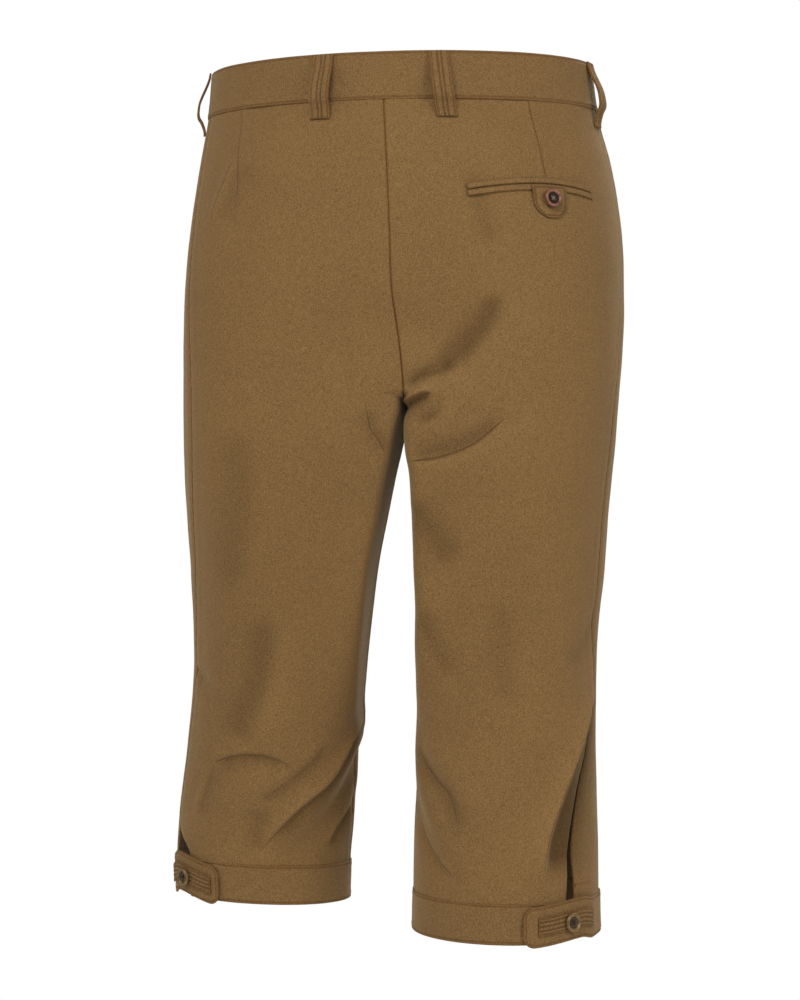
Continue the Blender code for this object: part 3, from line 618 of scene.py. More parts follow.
def crease_rise(side, points, normals):
    """Rise of the sharper creases, measured along the cloth, and signed distance to their pressed lines."""
    rise, pressed = np.zeros(points.shape[:-1]), np.ones(points.shape[:-1])
    for crease_side, ends, *hands, press in CREASES:
        if crease_side != side:
            continue
        left_hand, right_hand = ((*hand, *NO_SWELL)[:4] for hand in hands)
        path = body_form(side, *smooth_path(ends).T)
        reach = CREASE_SEARCH * max(left_hand[1], right_hand[1], left_hand[3] * 2, right_hand[3] * 2)
        near = ((points > path.min(0) - reach) & (points < path.max(0) + reach)).all(-1)
        if not near.any():
            continue
        distance, passed, away, direction = follow(path, points[near])
        on_left = side * np.einsum("ij,ij->i", np.cross(direction, away), normals[near]) > 0
        at_left, at_right = (beside_crease(distance * 1000, *hand) for hand in (left_hand, right_hand))
        sharp = bell(distance, CREASE_EDGE)
        profile = np.where(on_left, at_left, at_right) * (1 - sharp)
        profile += (left_hand[0] + right_hand[0]) / 2 * sharp
        fade = ease(passed / CREASE_FADE) * ease((1 - passed) / CREASE_FADE)
        rise[near] += profile / 1000 * fade
        if press:
            signed = np.where(on_left, 1, -1) * distance
            pressed[near] = nearer(pressed[near], signed / np.maximum(press * fade, LEAST_PRESS))
    return rise, pressed


def undulation(points, size=0.07):
    """Slow swells of cloth that no two garments share, with a finer swell of 0.4 of their height added."""
    flat = points.reshape(-1, 3)
    swell = [noise.noise(Vector(p / size)) + 0.4 * noise.noise(Vector(p / size * 2.7 + 9)) for p in flat]
    return np.array(swell).reshape(points.shape[:-1])


def cloth_points(side, turn, height, lift=0.0):
    """Points on the outer face of the cloth, moved out by lift."""
    turn, height = np.broadcast_arrays(np.asarray(turn, float), np.asarray(height, float))
    move = fold_rise(side, turn, height) + lift
    return body_form(side, turn, height) + outward(side, turn, height) * move[..., None]


print("creases:", len(CREASES), "sharp,", len(FOLDS), "soft")

# %% [markdown]
# ## Brushed cloth
#
# Moleskin is a dense cotton cloth whose face is brushed into a very short nap. Close up, it has dark and
# light fibres mixed like heather, and its roughness is high with a soft glow at grazing angles. The same
# effect is used on body, bands, reverse and thread, so it is one shader node group, and each material
# places it with its own colour and strength. It works from the object's own coordinates, so it needs no
# unwrapping.


# %% Helpers for shader nodes
def new_node(tree, kind, **values):
    """A shader node with some of its settings or input sockets filled in."""
    node = tree.nodes.new(f"ShaderNode{kind}")
    for key, value in values.items():
        if hasattr(node, key):
            setattr(node, key, value)
        else:
            node.inputs[key.replace("_", " ").title()].default_value = value
    return node


def noise_at(tree, coordinates, scale, detail, stretch=(1, 1, 1)):
    mapping = new_node(tree, "Mapping")
    mapping.inputs["Scale"].default_value = stretch
    texture = new_node(tree, "TexNoise", Scale=scale, Detail=detail)
    tree.links.new(coordinates, mapping.inputs["Vector"])
    tree.links.new(mapping.outputs[0], texture.inputs["Vector"])
    return texture.outputs["Fac"]


def remap(tree, source, low, high, to_low, to_high):
    node = new_node(tree, "MapRange", interpolation_type="SMOOTHSTEP")
    for name, value in (("From Min", low), ("From Max", high), ("To Min", to_low), ("To Max", to_high)):
        node.inputs[name].default_value = value
    tree.links.new(source, node.inputs["Value"])
    return node.outputs["Result"]


def fill(tree, socket, value):
    """Links an input to another node's output, or gives it a plain value."""
    if isinstance(value, bpy.types.NodeSocket):
        tree.links.new(value, socket)
    else:
        socket.default_value = value


def mixed(tree, blend_type, factor, first, second):
    """Mixes two colours. A Mix node has inputs for each kind of value, and 6 and 7 are its colours."""
    node = new_node(tree, "Mix", data_type="RGBA", blend_type=blend_type)
    for index, value in ((0, factor), (6, first), (7, second)):
        fill(tree, node.inputs[index], value)
    return node.outputs[2]


def maths(tree, operation, first, second):
    node = new_node(tree, "Math", operation=operation)
    for socket, value in zip(node.inputs, (first, second)):
        fill(tree, socket, value)
    return node.outputs[0]


# %% A node group for the nap
# features to a metre, and between which values of the noise each one changes from dark to pale
FIBRES, GRAIN, CLOUDS = 1700, 900, 16
FIBRE_EDGES, GRAIN_EDGES, CLOUD_EDGES = (0.36, 0.64), (0.30, 0.70), (0.3, 0.7)
FIBRE_SQUASH = (1, 1, 0.7)
ROUGH_EDGES, NAP_ROUGHNESS = (0.2, 0.8), (0.80, 0.95)
# the darkest and the palest fibres, as shares of the cloth's colour
DARK_FIBRE, PALE_FIBRE = (0.52, 0.50, 0.48, 1), (1.42, 1.44, 1.50, 1)
GRAIN_SHARE, FIBRE_HEIGHT, GRAIN_HEIGHT = 0.45, 0.7, 0.3


def make_nap_group():
    tree = bpy.data.node_groups.new("brushed nap", "ShaderNodeTree")
    for name, kind, value in (
        ("Cloth", "NodeSocketColor", (0.2, 0.12, 0.05, 1)),
        ("Flecks", "NodeSocketFloat", 0.3),
        ("Clouds", "NodeSocketFloat", 0.1),
    ):
        tree.interface.new_socket(name, in_out="INPUT", socket_type=kind).default_value = value
    for name, kind in (("Color", "Color"), ("Roughness", "Float"), ("Height", "Float")):
        tree.interface.new_socket(name, in_out="OUTPUT", socket_type=f"NodeSocket{kind}")
    given, out = tree.nodes.new("NodeGroupInput"), tree.nodes.new("NodeGroupOutput")
    place = new_node(tree, "TexCoord").outputs["Object"]
    fibres = noise_at(tree, place, FIBRES, 2, FIBRE_SQUASH)
    grain = noise_at(tree, place, GRAIN, 2)
    clouds = noise_at(tree, place, CLOUDS, 3)
    dark = mixed(tree, "MULTIPLY", 1.0, given.outputs["Cloth"], DARK_FIBRE)
    light = mixed(tree, "MULTIPLY", 1.0, given.outputs["Cloth"], PALE_FIBRE)
    heather = mixed(tree, "MIX", remap(tree, fibres, *FIBRE_EDGES, 0, 1), dark, light)
    colour = mixed(tree, "MIX", given.outputs["Flecks"], given.outputs["Cloth"], heather)
    speckle = mixed(tree, "MIX", remap(tree, grain, *GRAIN_EDGES, 0, 1), dark, light)
    grain_share = maths(tree, "MULTIPLY", given.outputs["Flecks"], GRAIN_SHARE)
    colour = mixed(tree, "MIX", grain_share, colour, speckle)
    swept = mixed(tree, "MIX", remap(tree, clouds, *CLOUD_EDGES, 0, 1), dark, light)
    colour = mixed(tree, "MIX", given.outputs["Clouds"], colour, swept)
    tree.links.new(colour, out.inputs["Color"])
    tree.links.new(remap(tree, clouds, *ROUGH_EDGES, *NAP_ROUGHNESS), out.inputs["Roughness"])
    fibre_height = maths(tree, "MULTIPLY", fibres, FIBRE_HEIGHT)
    grain_height = maths(tree, "MULTIPLY", grain, GRAIN_HEIGHT)
    tree.links.new(maths(tree, "ADD", fibre_height, grain_height), out.inputs["Height"])
    return tree


NAP = make_nap_group()
print("nap group inputs:", [item.name for item in NAP.interface.items_tree if item.in_out == "INPUT"])

# %% [markdown]
# ## Sewn and pressed lines
#
# A dart or a seam is a fine valley about a millimetre wide, too fine for the panel's own grid. Each
# panel carries the distance to its nearest sewn line at every point, as an attribute. That distance
# changes evenly across the cloth, so the shader can draw a valley much finer than the grid, as relief
# and as a dark line of painted shade. On bands, loops and patches the edges and ends of the strip get
# the same painted shade, where they meet what lies below. The same group, with a greater width, draws
# the pressed lines of the creases.
#
# The folds are also painted into the colour. Each panel carries how far its folds rise or dip, and the
# colour of the cloth is multiplied by a painted highlight on a ridge and a painted shade in a hollow, in
# that measure, so that they look paler and darker than their relief alone would make them.


# %% A node group for sewn lines
def make_valley_group():
    tree = bpy.data.node_groups.new("sewn valley", "ShaderNodeTree")
    for name, value in (("Distance", 1.0), ("Half Width", 0.0007), ("Depth", 1.0)):
        tree.interface.new_socket(name, in_out="INPUT", socket_type="NodeSocketFloat").default_value = value
    for name in ("Shade", "Height"):
        tree.interface.new_socket(name, in_out="OUTPUT", socket_type="NodeSocketFloat")
    given, out = tree.nodes.new("NodeGroupInput"), tree.nodes.new("NodeGroupOutput")
    share = maths(tree, "DIVIDE", given.outputs["Distance"], given.outputs["Half Width"])
    fall = maths(tree, "EXPONENT", maths(tree, "MULTIPLY", maths(tree, "POWER", share, 2.0), -1.0), 0.0)
    deep = maths(tree, "MULTIPLY", fall, given.outputs["Depth"])
    tree.links.new(deep, out.inputs["Shade"])
    tree.links.new(maths(tree, "MULTIPLY", deep, -1.0), out.inputs["Height"])
    return tree


VALLEY = make_valley_group()
print("valley group inputs:", [item.name for item in VALLEY.interface.items_tree if item.in_out == "INPUT"])

# %% [markdown]
# ## Materials
#
# Every cloth and thread has the nap, each with its own colour. The thread is darker and plainer. The
# reverse, inside the panels and on the bands' inner face, is plainer as a real reverse is, and painted
# much darker, as the shade inside the breeches. Real horn is dark, reddish and glossy, with pale and dark
# streaks along its grain, and aged brass is a dull metal with clouds of tarnish. One noise for the streaks
# and a finer one for the scratches give both, so horn and brass differ only in their values.

# %% Finish of the cloth
SHEEN, SHEEN_ROUGHNESS, SHEEN_TINT = 0.25, 0.4, (1.0, 0.80, 0.52, 1)
CLOTH_ROUGHNESS, CLOTH_GLOSS = 0.9, 0.15
NAP_STRENGTH, VALLEY_STRENGTH, VALLEY_RELIEF = 0.8, 0.7, 0.0010
# the painted shade in sewn lines and along the edges of strips, as a share of the cloth's colour
SEAM_AND_EDGE_PAINTED_SHADE = (0.72, 0.54, 0.33, 1)
# the width of a pressed line, and the painted shade along it, as a share of the cloth's colour
PRESS_WIDTH, PRESS_PAINTED_SHADE = 0.0013, (0.62, 0.54, 0.46, 1)
# painted highlight on the ridges of folds and painted shade in their hollows, as shares of the colour
FOLD_PAINTED_SHADE, FOLD_PAINTED_HIGHLIGHT = (0.45, 0.43, 0.40, 1), (1.22, 1.22, 1.22, 1)


# %% Make a cloth
def new_material(name, colour, roughness, **sockets):
    material = bpy.data.materials.new(name)
    material.use_nodes = True
    shader = material.node_tree.nodes["Principled BSDF"]
    shader.inputs["Base Color"].default_value = (*colour, 1)
    shader.inputs["Roughness"].default_value = roughness
    for key, value in sockets.items():
        shader.inputs[key.replace("_", " ")].default_value = value
    return material


def attribute(tree, name):
    return new_node(tree, "Attribute", attribute_name=name).outputs["Fac"]


def place_group(tree, group, **values):
    node = tree.nodes.new("ShaderNodeGroup")
    node.node_tree = group
    for key, value in values.items():
        fill(tree, node.inputs[key.replace("_", " ")], value)
    return node


def paint_fold_light(tree, colour, height):
    """Pressed lines and hollows painted darker and ridges painted paler, on top of a colour and a height."""
    distance = attribute(tree, "pressed_line")
    press = place_group(tree, VALLEY, Half_Width=PRESS_WIDTH, Distance=distance)
    fold = attribute(tree, "fold")
    colour = mixed(tree, "MULTIPLY", maths(tree, "MULTIPLY", fold, -1.0), colour, FOLD_PAINTED_SHADE)
    colour = mixed(tree, "MULTIPLY", fold, colour, FOLD_PAINTED_HIGHLIGHT)
    colour = mixed(tree, "MULTIPLY", press.outputs["Shade"], colour, PRESS_PAINTED_SHADE)
    return colour, maths(tree, "ADD", height, press.outputs["Height"])


def cloth_material(name, colour, flecks=0.85, clouds=0.07, bump=0.0004, seams=0.0, folds=False):
    material = new_material(
        name,
        colour,
        CLOTH_ROUGHNESS,
        Sheen_Weight=SHEEN,
        Sheen_Roughness=SHEEN_ROUGHNESS,
        Sheen_Tint=SHEEN_TINT,
        Specular_IOR_Level=CLOTH_GLOSS,
    )
    tree = material.node_tree
    shader = tree.nodes["Principled BSDF"]
    nap = place_group(tree, NAP, Cloth=(*colour, 1), Flecks=flecks, Clouds=clouds)
    colour_out = nap.outputs["Color"]
    rough = new_node(tree, "Bump", Strength=NAP_STRENGTH, Distance=bump)
    tree.links.new(nap.outputs["Height"], rough.inputs["Height"])
    normal_out = rough.outputs["Normal"]
    if seams:
        # painted shade along seams, darts, stitched lines and the edges of strips
        line = place_group(tree, VALLEY, Depth=seams, Distance=attribute(tree, "seam_and_edge_line"))
        colour_out = mixed(tree, "MULTIPLY", line.outputs["Shade"], colour_out, SEAM_AND_EDGE_PAINTED_SHADE)
        height_out = line.outputs["Height"]
        if folds:
            colour_out, height_out = paint_fold_light(tree, colour_out, height_out)
        valley = new_node(tree, "Bump", Strength=VALLEY_STRENGTH, Distance=VALLEY_RELIEF)
        tree.links.new(height_out, valley.inputs["Height"])
        tree.links.new(normal_out, valley.inputs["Normal"])
        normal_out = valley.outputs["Normal"]
    tree.links.new(colour_out, shader.inputs["Base Color"])
    tree.links.new(nap.outputs["Roughness"], shader.inputs["Roughness"])
    tree.links.new(normal_out, shader.inputs["Normal"])
    return material


# %% Make a horn or a brass
STREAKS, STREAK_STRETCH, STREAK_EDGES = 300, (1, 1, 0.3), (0.35, 0.7)
# scratches to a metre, their edges in the noise, and how much less and more rough than the rest they are
SCRATCHES, SCRATCH_EDGES, LESS_ROUGH, MORE_ROUGH = 1500, (0.3, 0.7), 0.7, 1.5


def polished_material(name, colour, streak, roughness, **sockets):
    """Horn or aged brass: one colour clouded by another, with small scratches in the gloss."""
    material = new_material(name, colour, roughness, **sockets)
    tree = material.node_tree
    shader = tree.nodes["Principled BSDF"]
    place = new_node(tree, "TexCoord").outputs["Object"]
    streaks = remap(tree, noise_at(tree, place, STREAKS, 4, STREAK_STRETCH), *STREAK_EDGES, 0, 1)
    tree.links.new(mixed(tree, "MIX", streaks, (*colour, 1), (*streak, 1)), shader.inputs["Base Color"])
    scratches = noise_at(tree, place, SCRATCHES, 2)
    gloss = remap(tree, scratches, *SCRATCH_EDGES, roughness * LESS_ROUGH, roughness * MORE_ROUGH)
    tree.links.new(gloss, shader.inputs["Roughness"])
    return material


# %% Cloth, thread, horn and brass
MOLESKIN = (0.214, 0.120, 0.0420)
BODY = cloth_material("moleskin_body", MOLESKIN, seams=1.0, folds=True)
BAND = cloth_material("moleskin_band", (0.208, 0.117, 0.0420), clouds=0.05, seams=0.75)
# The reverse is plainer than the face, as a real reverse is, and painted much darker, as the shade inside.
REVERSE_PAINTED_SHADE = cloth_material("moleskin_reverse_painted_shade", (0.075, 0.043, 0.019), flecks=0.25, clouds=0.05, bump=0.0002)
THREAD = cloth_material("sewing_thread", (0.160, 0.089, 0.033), flecks=0.3, clouds=0.0, bump=0.0001)
HORN = polished_material("button_horn", (0.23, 0.078, 0.034), (0.11, 0.036, 0.017), 0.32, Coat_Weight=0.2)
HORN_MIDDLE = polished_material(
    "button_horn_middle", (0.012, 0.008, 0.006), (0.024, 0.011, 0.008), 0.55, Specular_IOR_Level=0.2
)
BRASS = polished_material("button_brass", (0.27, 0.170, 0.072), (0.14, 0.086, 0.037), 0.42, Metallic=0.6)
BRASS_MIDDLE = polished_material(
    "button_brass_middle", (0.085, 0.052, 0.023), (0.040, 0.024, 0.012), 0.5, Metallic=0.4
)
PALE_THREAD = cloth_material("button_thread", (0.26, 0.19, 0.12), flecks=0.2, clouds=0.0, bump=0.0001)
DARK_THREAD = cloth_material(
    "button_thread_dark", (0.030, 0.019, 0.011), flecks=0.2, clouds=0.0, bump=0.0001
)
print("materials:", len(bpy.data.materials))

# %% [markdown]
# ## Meshes from rows of points
#
# Every cloth piece is a grid of points, rows by columns. A leg panel is an open grid that a Solidify
# modifier gives its thickness, with the smooth reverse of the cloth inside, painted dark as the shade
# within the leg. A band, loop or tab is a strip of folded cloth, so its cross section is a closed ring
# with rounded edges, which runs along the strip.
# Modelling the cloth with a brush would look as good, but a grid that a formula fills can be made again
# with other numbers.


# %% Grid helpers
def grid_faces(rows, columns, ring=False):
    index = np.arange(rows * columns).reshape(rows, columns)
    if ring:
        index = np.column_stack((index, index[:, 0]))
    corners = (index[:-1, :-1], index[:-1, 1:], index[1:, 1:], index[1:, :-1])
    return np.stack(corners, axis=-1).reshape(-1, 4).tolist()


def tube_faces(rows, columns):
    """Faces of a ring of points that runs along a line, with a cap at each end."""
    caps = [list(range(columns))[::-1], list(range((rows - 1) * columns, rows * columns))]
    return grid_faces(rows, columns, ring=True) + caps


def repeat_faces(faces, step, count):
    return [[corner + k * step for corner in face] for k in range(count) for face in faces]


def distance_along(points):
    return np.concatenate(([0], np.linalg.norm(np.diff(points, axis=0), axis=-1).cumsum()))


def add_piece(name, points, faces, material, replaces=()):
    mesh = bpy.data.meshes.new(name)
    mesh.from_pydata(np.asarray(points).reshape(-1, 3).tolist(), [], faces)
    mesh.shade_smooth()
    mesh.materials.append(material)
    piece = bpy.data.objects.new(name, mesh)
    bpy.context.scene.collection.objects.link(piece)
    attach(piece, "root")
    if replaces:
        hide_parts(*replaces)
    return piece


def mark(piece, name, values):
    """Stores one number at each point, for the cloth material."""
    stored = piece.data.attributes.new(name, "FLOAT", "POINT")
    stored.data.foreach_set("value", values.astype(np.float32).ravel())


def face_outward(side, faces):
    return faces if side == LEFT else [face[::-1] for face in faces]


# %% [markdown]
# ## The size of each cut
#
# A piece is cut flat and larger than it ends up, with turnings along its seams. Its cut is worked out from
# the finished grid, along the widest row and the longest column, rather than typed in by hand, so it stays
# right when a table changes.

# %% What a piece was cut to
SEAM_TURNING = 0.010
# A sheet narrower than a centimetre can't be declared, so the two welts are declared at this width.
NARROWEST_CUT = 0.0101
CUT_AREAS = {}


def declare_cut(piece, points, turning=SEAM_TURNING):
    """Records and prints a sheet's cut: widest row and longest column, with turnings all round."""
    across = np.linalg.norm(np.diff(points, axis=1), axis=-1).sum(axis=1).max() + 2 * turning
    along = np.linalg.norm(np.diff(points, axis=0), axis=-1).sum(axis=0).max() + 2 * turning
    cells = np.cross(points[1:, 1:] - points[:-1, :-1], points[1:, :-1] - points[:-1, 1:])
    area = np.linalg.norm(cells, axis=-1).sum() / 2 + 2 * turning * (across + along - 2 * turning)
    across = max(across, NARROWEST_CUT)
    area = min(area, across * along)
    CUT_AREAS[piece.name] = area
    print(f"{piece.name}: cut {across * 1000:.0f} by {along * 1000:.0f} mm, {area * 1e4:.0f} cm2")


# %% [markdown]
# ## Leg panels
#
# Each leg is a front panel and a back panel, joined at the inseam and the outseam. At a seam the
# cloth turns under, so each edge rolls in, with a faint swelling where the turnings lie behind it and small
# puckers where the thread has drawn it up. The grid is finer round the knee, where the folds are sharpest.
# Two darts take in the back panels at the waist. The distance to seams and darts goes into the attribute
# that the cloth material reads, and so does the distance to the stitched hem beside each vent and to the
# curved line that holds the fly. At the middle front the panels' edges are brought together, since a gap
# there would let light through.
#
# A Solidify modifier turns the corner at a cut edge. Smooth shading would run round that corner and leave a
# grey line along each seam, so the edges of the border are marked sharp.

# %% Panel tables
CLOTH = 0.0012
TUCK_UNDER = 0.0022
EDGE_ROLL, EDGE_ROLL_WIDTH = 0.0005, 0.0012
TURNING_RISE, TURNING_WIDTH, TURNING_EASE = 0.00035, 0.011, 0.004
PUCKER_RISE, PUCKER_LENGTH, PUCKER_WIDTH = 0.0001, 0.011, 0.007
# Puckers aren't evenly spaced: how far they wander, over what length, and how far the second edge's shift
PUCKER_WANDER, PUCKER_WANDER_LENGTH, PUCKER_SHIFT = 2.2, 0.043, 0.004
DART_RISE, DART_WIDTH = 0.0006, 0.006
# side, top turn and height, tip turn and height
DARTS = {
    LEFT: (0.7313, -0.017, 0.7612, -0.090),
    RIGHT: (0.7562, -0.013, 0.7575, -0.080),
}
# how far the front panel's edge sinks behind the open vent, and over what width
VENT_TUCK = {LEFT: (0.0008, 0.008), RIGHT: (0.0006, 0.010)}
# the opening, in turns, at which it has sunk fully
VENT_TUCK_FULL = 0.012
# the hem stitched beside a vent: its height above the knee band, and its length
VENT_HEM_ABOVE, VENT_HEM_LENGTH = 0.0120, 0.024
# turn and height
FLY_STITCH = ((0.070, -0.022), (0.070, -0.085), (0.060, -0.108), (0.035, -0.121), (0.002, -0.125))
# height at the top of each stretch, and the spacing of its rows
ROW_STRETCHES = ((-0.018, 0.0022), (-0.240, 0.0026), (-0.495, 0.0015))
COLUMN_SPACING = {"front": 0.0032, "back": 0.0021}


# %% Build a panel
def panel_heights(side):
    bottom = HEM[side][0] + KNEEBAND_HEIGHT - TUCK_UNDER
    ends = [top for top, _ in ROW_STRETCHES[1:]] + [bottom]
    stretches = [
        np.linspace(top, end, int((top - end) / spacing) + 1)[:-1]
        for (top, spacing), end in zip(ROW_STRETCHES, ends)
    ]
    return np.concatenate(stretches + [[bottom]])[::-1]


def panel_turns(side, part, heights):
    opening = np.maximum(smooth_column(OUTSEAM[side], 2, heights), 0)
    edge = smooth_column(OUTSEAM[side], 1, heights)
    side_gap = SEAM_GAP / 2 / GIRTH
    leg_gap = side_gap * ease((FORK_TOP - heights) / (FORK_TOP - FORK_LEVEL))
    if part == "front":
        first, last = leg_gap, edge - side_gap
    else:
        first, last = edge + opening + side_gap, 1 - leg_gap
    columns = int((last - first).max() * GIRTH / COLUMN_SPACING[part])
    return first[:, None] + (last - first)[:, None] * np.linspace(0, 1, columns)


def edge_relief(distance, along):
    """How the cloth rolls in at a sewn edge, swells over the turnings and puckers along the thread."""
    roll = -EDGE_ROLL * bell(distance, EDGE_ROLL_WIDTH)
    swell = TURNING_RISE * ease(1 + (TURNING_WIDTH - distance) / TURNING_EASE)
    swell = swell * ease(distance / TURNING_EASE)
    wave = np.sin(2 * math.pi * along / PUCKER_LENGTH + PUCKER_WANDER * np.sin(along / PUCKER_WANDER_LENGTH))
    return roll + swell + PUCKER_RISE * wave * bell(distance, PUCKER_WIDTH)


def dart_distance(side, turns, heights):
    top_turn, top, tip_turn, tip = DARTS[side]
    share = np.clip((top - heights) / (top - tip), 0, 1)
    aside = (turns - (top_turn + (tip_turn - top_turn) * share)) * GIRTH
    return np.copysign(np.hypot(aside, np.minimum(heights - tip, 0)), aside)


def sharpen_border(piece):
    """Keeps the smooth shading of a panel's face from turning the corner at its cut edge."""
    owners = {}
    for polygon in piece.data.polygons:
        for key in polygon.edge_keys:
            owners[key] = owners.get(key, 0) + 1
    for edge in piece.data.edges:
        edge.use_edge_sharp = owners[edge.key] == 1


# %% Details of the front panels
def vent_tuck(side, rows, to_vent):
    opening = np.maximum(smooth_column(OUTSEAM[side], 2, rows), 0)
    tuck, width = VENT_TUCK[side]
    return tuck * ease(opening / VENT_TUCK_FULL) * bell(to_vent, width)


def front_lines(side, rows, form, to_vent):
    """Distance to the lines stitched on a front panel: its vent's hem, and on the left the fly."""
    hem = abs(rows - HEM[side][0] - KNEEBAND_HEIGHT - VENT_HEM_ABOVE)
    lines = np.hypot(hem, np.maximum(to_vent - VENT_HEM_LENGTH, 0))
    if side == LEFT:
        path = body_form(side, *smooth_path(FLY_STITCH).T)
        lines = np.minimum(lines, follow(path, form.reshape(-1, 3))[0].reshape(rows.shape))
    return lines


def close_middle(side, points, turns, heights):
    """Brings the first column of a front panel to the middle seam, as far down as the halves are joined."""
    joined = heights > FORK_LEVEL
    left, right = (body_form(half, turns[joined, 0], heights[joined])[:, 0] for half in (LEFT, RIGHT))
    points[joined, 0, 0] = (left + right) / 2 + side * MIDDLE_GAP / 2


# %% Add the panels
def thicken(piece):
    # the inside takes the reverse, painted dark as the shade within the leg
    piece.data.materials.append(REVERSE_PAINTED_SHADE)
    sharpen_border(piece)
    wall = piece.modifiers.new("Cloth", "SOLIDIFY")
    wall.thickness = CLOTH
    wall.offset = -1
    wall.material_offset = 1


def add_panel(side, part):
    name = f"{part}_{NAMES[side]}"
    heights = panel_heights(side)
    turns = panel_turns(side, part, heights)
    rows = np.broadcast_to(heights[:, None], turns.shape)
    creases, pressed = crease_rise(side, body_form(side, turns, rows), outward(side, turns, rows))
    form = cloth_points(side, turns, rows, creases)
    steps = np.linalg.norm(np.diff(form, axis=1), axis=-1)
    to_first = np.column_stack((np.zeros(len(heights)), steps.cumsum(axis=1)))
    to_last = to_first[:, -1:] - to_first
    along = distance_along(form[:, 0])[:, None]
    lift = edge_relief(to_first, along) + edge_relief(to_last, along + PUCKER_SHIFT)
    sewn = np.minimum(to_first, to_last)
    if part == "back":
        dart = dart_distance(side, turns, rows)
        sewn = nearer(sewn, dart)
        lift = lift + DART_RISE * bell(dart, DART_WIDTH)
    else:
        tucked = vent_tuck(side, rows, to_last)
        # The sunk edge also goes into the folds' measure, so it is painted darker, as shade behind the open
        # vent.
        lift, creases = lift - tucked, creases - tucked
        sewn = np.minimum(sewn, front_lines(side, rows, form, to_last))
    lift = lift + UNDULATION * undulation(form)
    points = form + outward(side, turns, rows) * lift[..., None]
    if part == "front":
        close_middle(side, points, turns, heights)
    faces = face_outward(side, grid_faces(*turns.shape))
    piece = add_piece(f"{name}_panel", points, faces, BODY, (name,))
    # where the cloth material paints shade along seams, darts and stitched lines
    mark(piece, "seam_and_edge_line", sewn)
    # how far the folds rise or dip, which the cloth material paints as highlight and shade
    mark(piece, "fold", creases / FULL_SHADE)
    mark(piece, "pressed_line", pressed)
    thicken(piece)
    declare_cut(piece, points)
    return piece


for SIDE in (LEFT, RIGHT):
    for PART in ("front", "back"):
        add_panel(SIDE, PART)

# %% [markdown]
# ## Strips of folded cloth
#
# Bands, belt loops, welts, tabs and patches are strips: cloth folded in on itself, stitched near its edges.
# Each is built the same way. A small function says where a point of the strip lies, from its place along
# the strip, its distance from the middle line and its lift off the cloth below. The strip is then a ring of
# such points at each place along it. A line of stitches pulls the cloth down into a groove, so grooves are
# part of the ring's outline, and the thread that lies in them is added later.

# %% Build a strip
# distances from an edge to the columns that round it, in half thicknesses
ROUND_STEPS = np.array((0.04, 0.16, 0.40, 0.75))
# the share of its thickness that a strip keeps at its very ends
THIN_END = 0.12
EDGE_TURNING = 0.001
# the width of a stitched groove, and that of a ridge as a share of its inset
GROOVE_WIDTH, RIDGE_SHARE = 0.0006, 0.6
STRIP_UNDULATION, FRAYS_PER_METRE = 0.035, 900
# a small step off the cloth, to find which way is out
STEP_OFF = 0.001


def ring_shares(half_width, half_thickness, spacing):
    """Places across a strip, edge to edge on top and back again underneath, closer together at the edges."""
    near_edge = 1 - ROUND_STEPS * half_thickness / half_width
    inner = np.linspace(-near_edge[-1], near_edge[-1], int(2 * half_width / spacing) + 2)[1:-1]
    top = np.concatenate(([-1], -near_edge, inner, near_edge[::-1], [1]))
    under = np.concatenate((near_edge, np.linspace(0.9, -0.9, 5) * near_edge[-1], -near_edge[::-1]))
    return np.concatenate((top, under)), np.arange(len(top) + len(under)) < len(top)


def groove(distance, depth):
    return depth * bell(distance, GROOVE_WIDTH)


def inside_out(place, along, base):
    """Whether the faces of a strip with this place function would face inwards."""
    ahead = place(along[:2], np.zeros(2), base)
    aside = place(along[:1], np.array([STEP_OFF]), base)[0] - ahead[0]
    above = place(along[:1], np.zeros(1), base + STEP_OFF)[0] - ahead[0]
    return np.dot(np.cross(ahead[1] - ahead[0], aside), above) > 0


def strip_lift(base, thickness, on_top, across, to_edge, to_end, look):
    """Lift of a strip's surface, with rounded edges, grooves on its top and a soft ridge."""
    half = thickness / 2
    rounded = np.sqrt(1 - np.clip(1 - to_edge / half, 0, 1) ** 2)
    at_end = THIN_END + (1 - THIN_END) * np.sqrt(1 - np.clip(1 - to_end / half, 0, 1) ** 2)
    lift = base + half + half * np.where(on_top, 1, -1) * rounded * at_end
    for inset, depth in look.get("outline", ()):
        lift = lift - on_top * groove(np.minimum(to_edge, to_end) - inset, depth)
    for line, depth in look.get("lines", ()):
        lift = lift - on_top * groove(across - line, depth)
    if "ridge" in look:
        inset, rise = look["ridge"]
        lift = lift + on_top * rise * bell(to_edge - inset, RIDGE_SHARE * inset)
    return lift


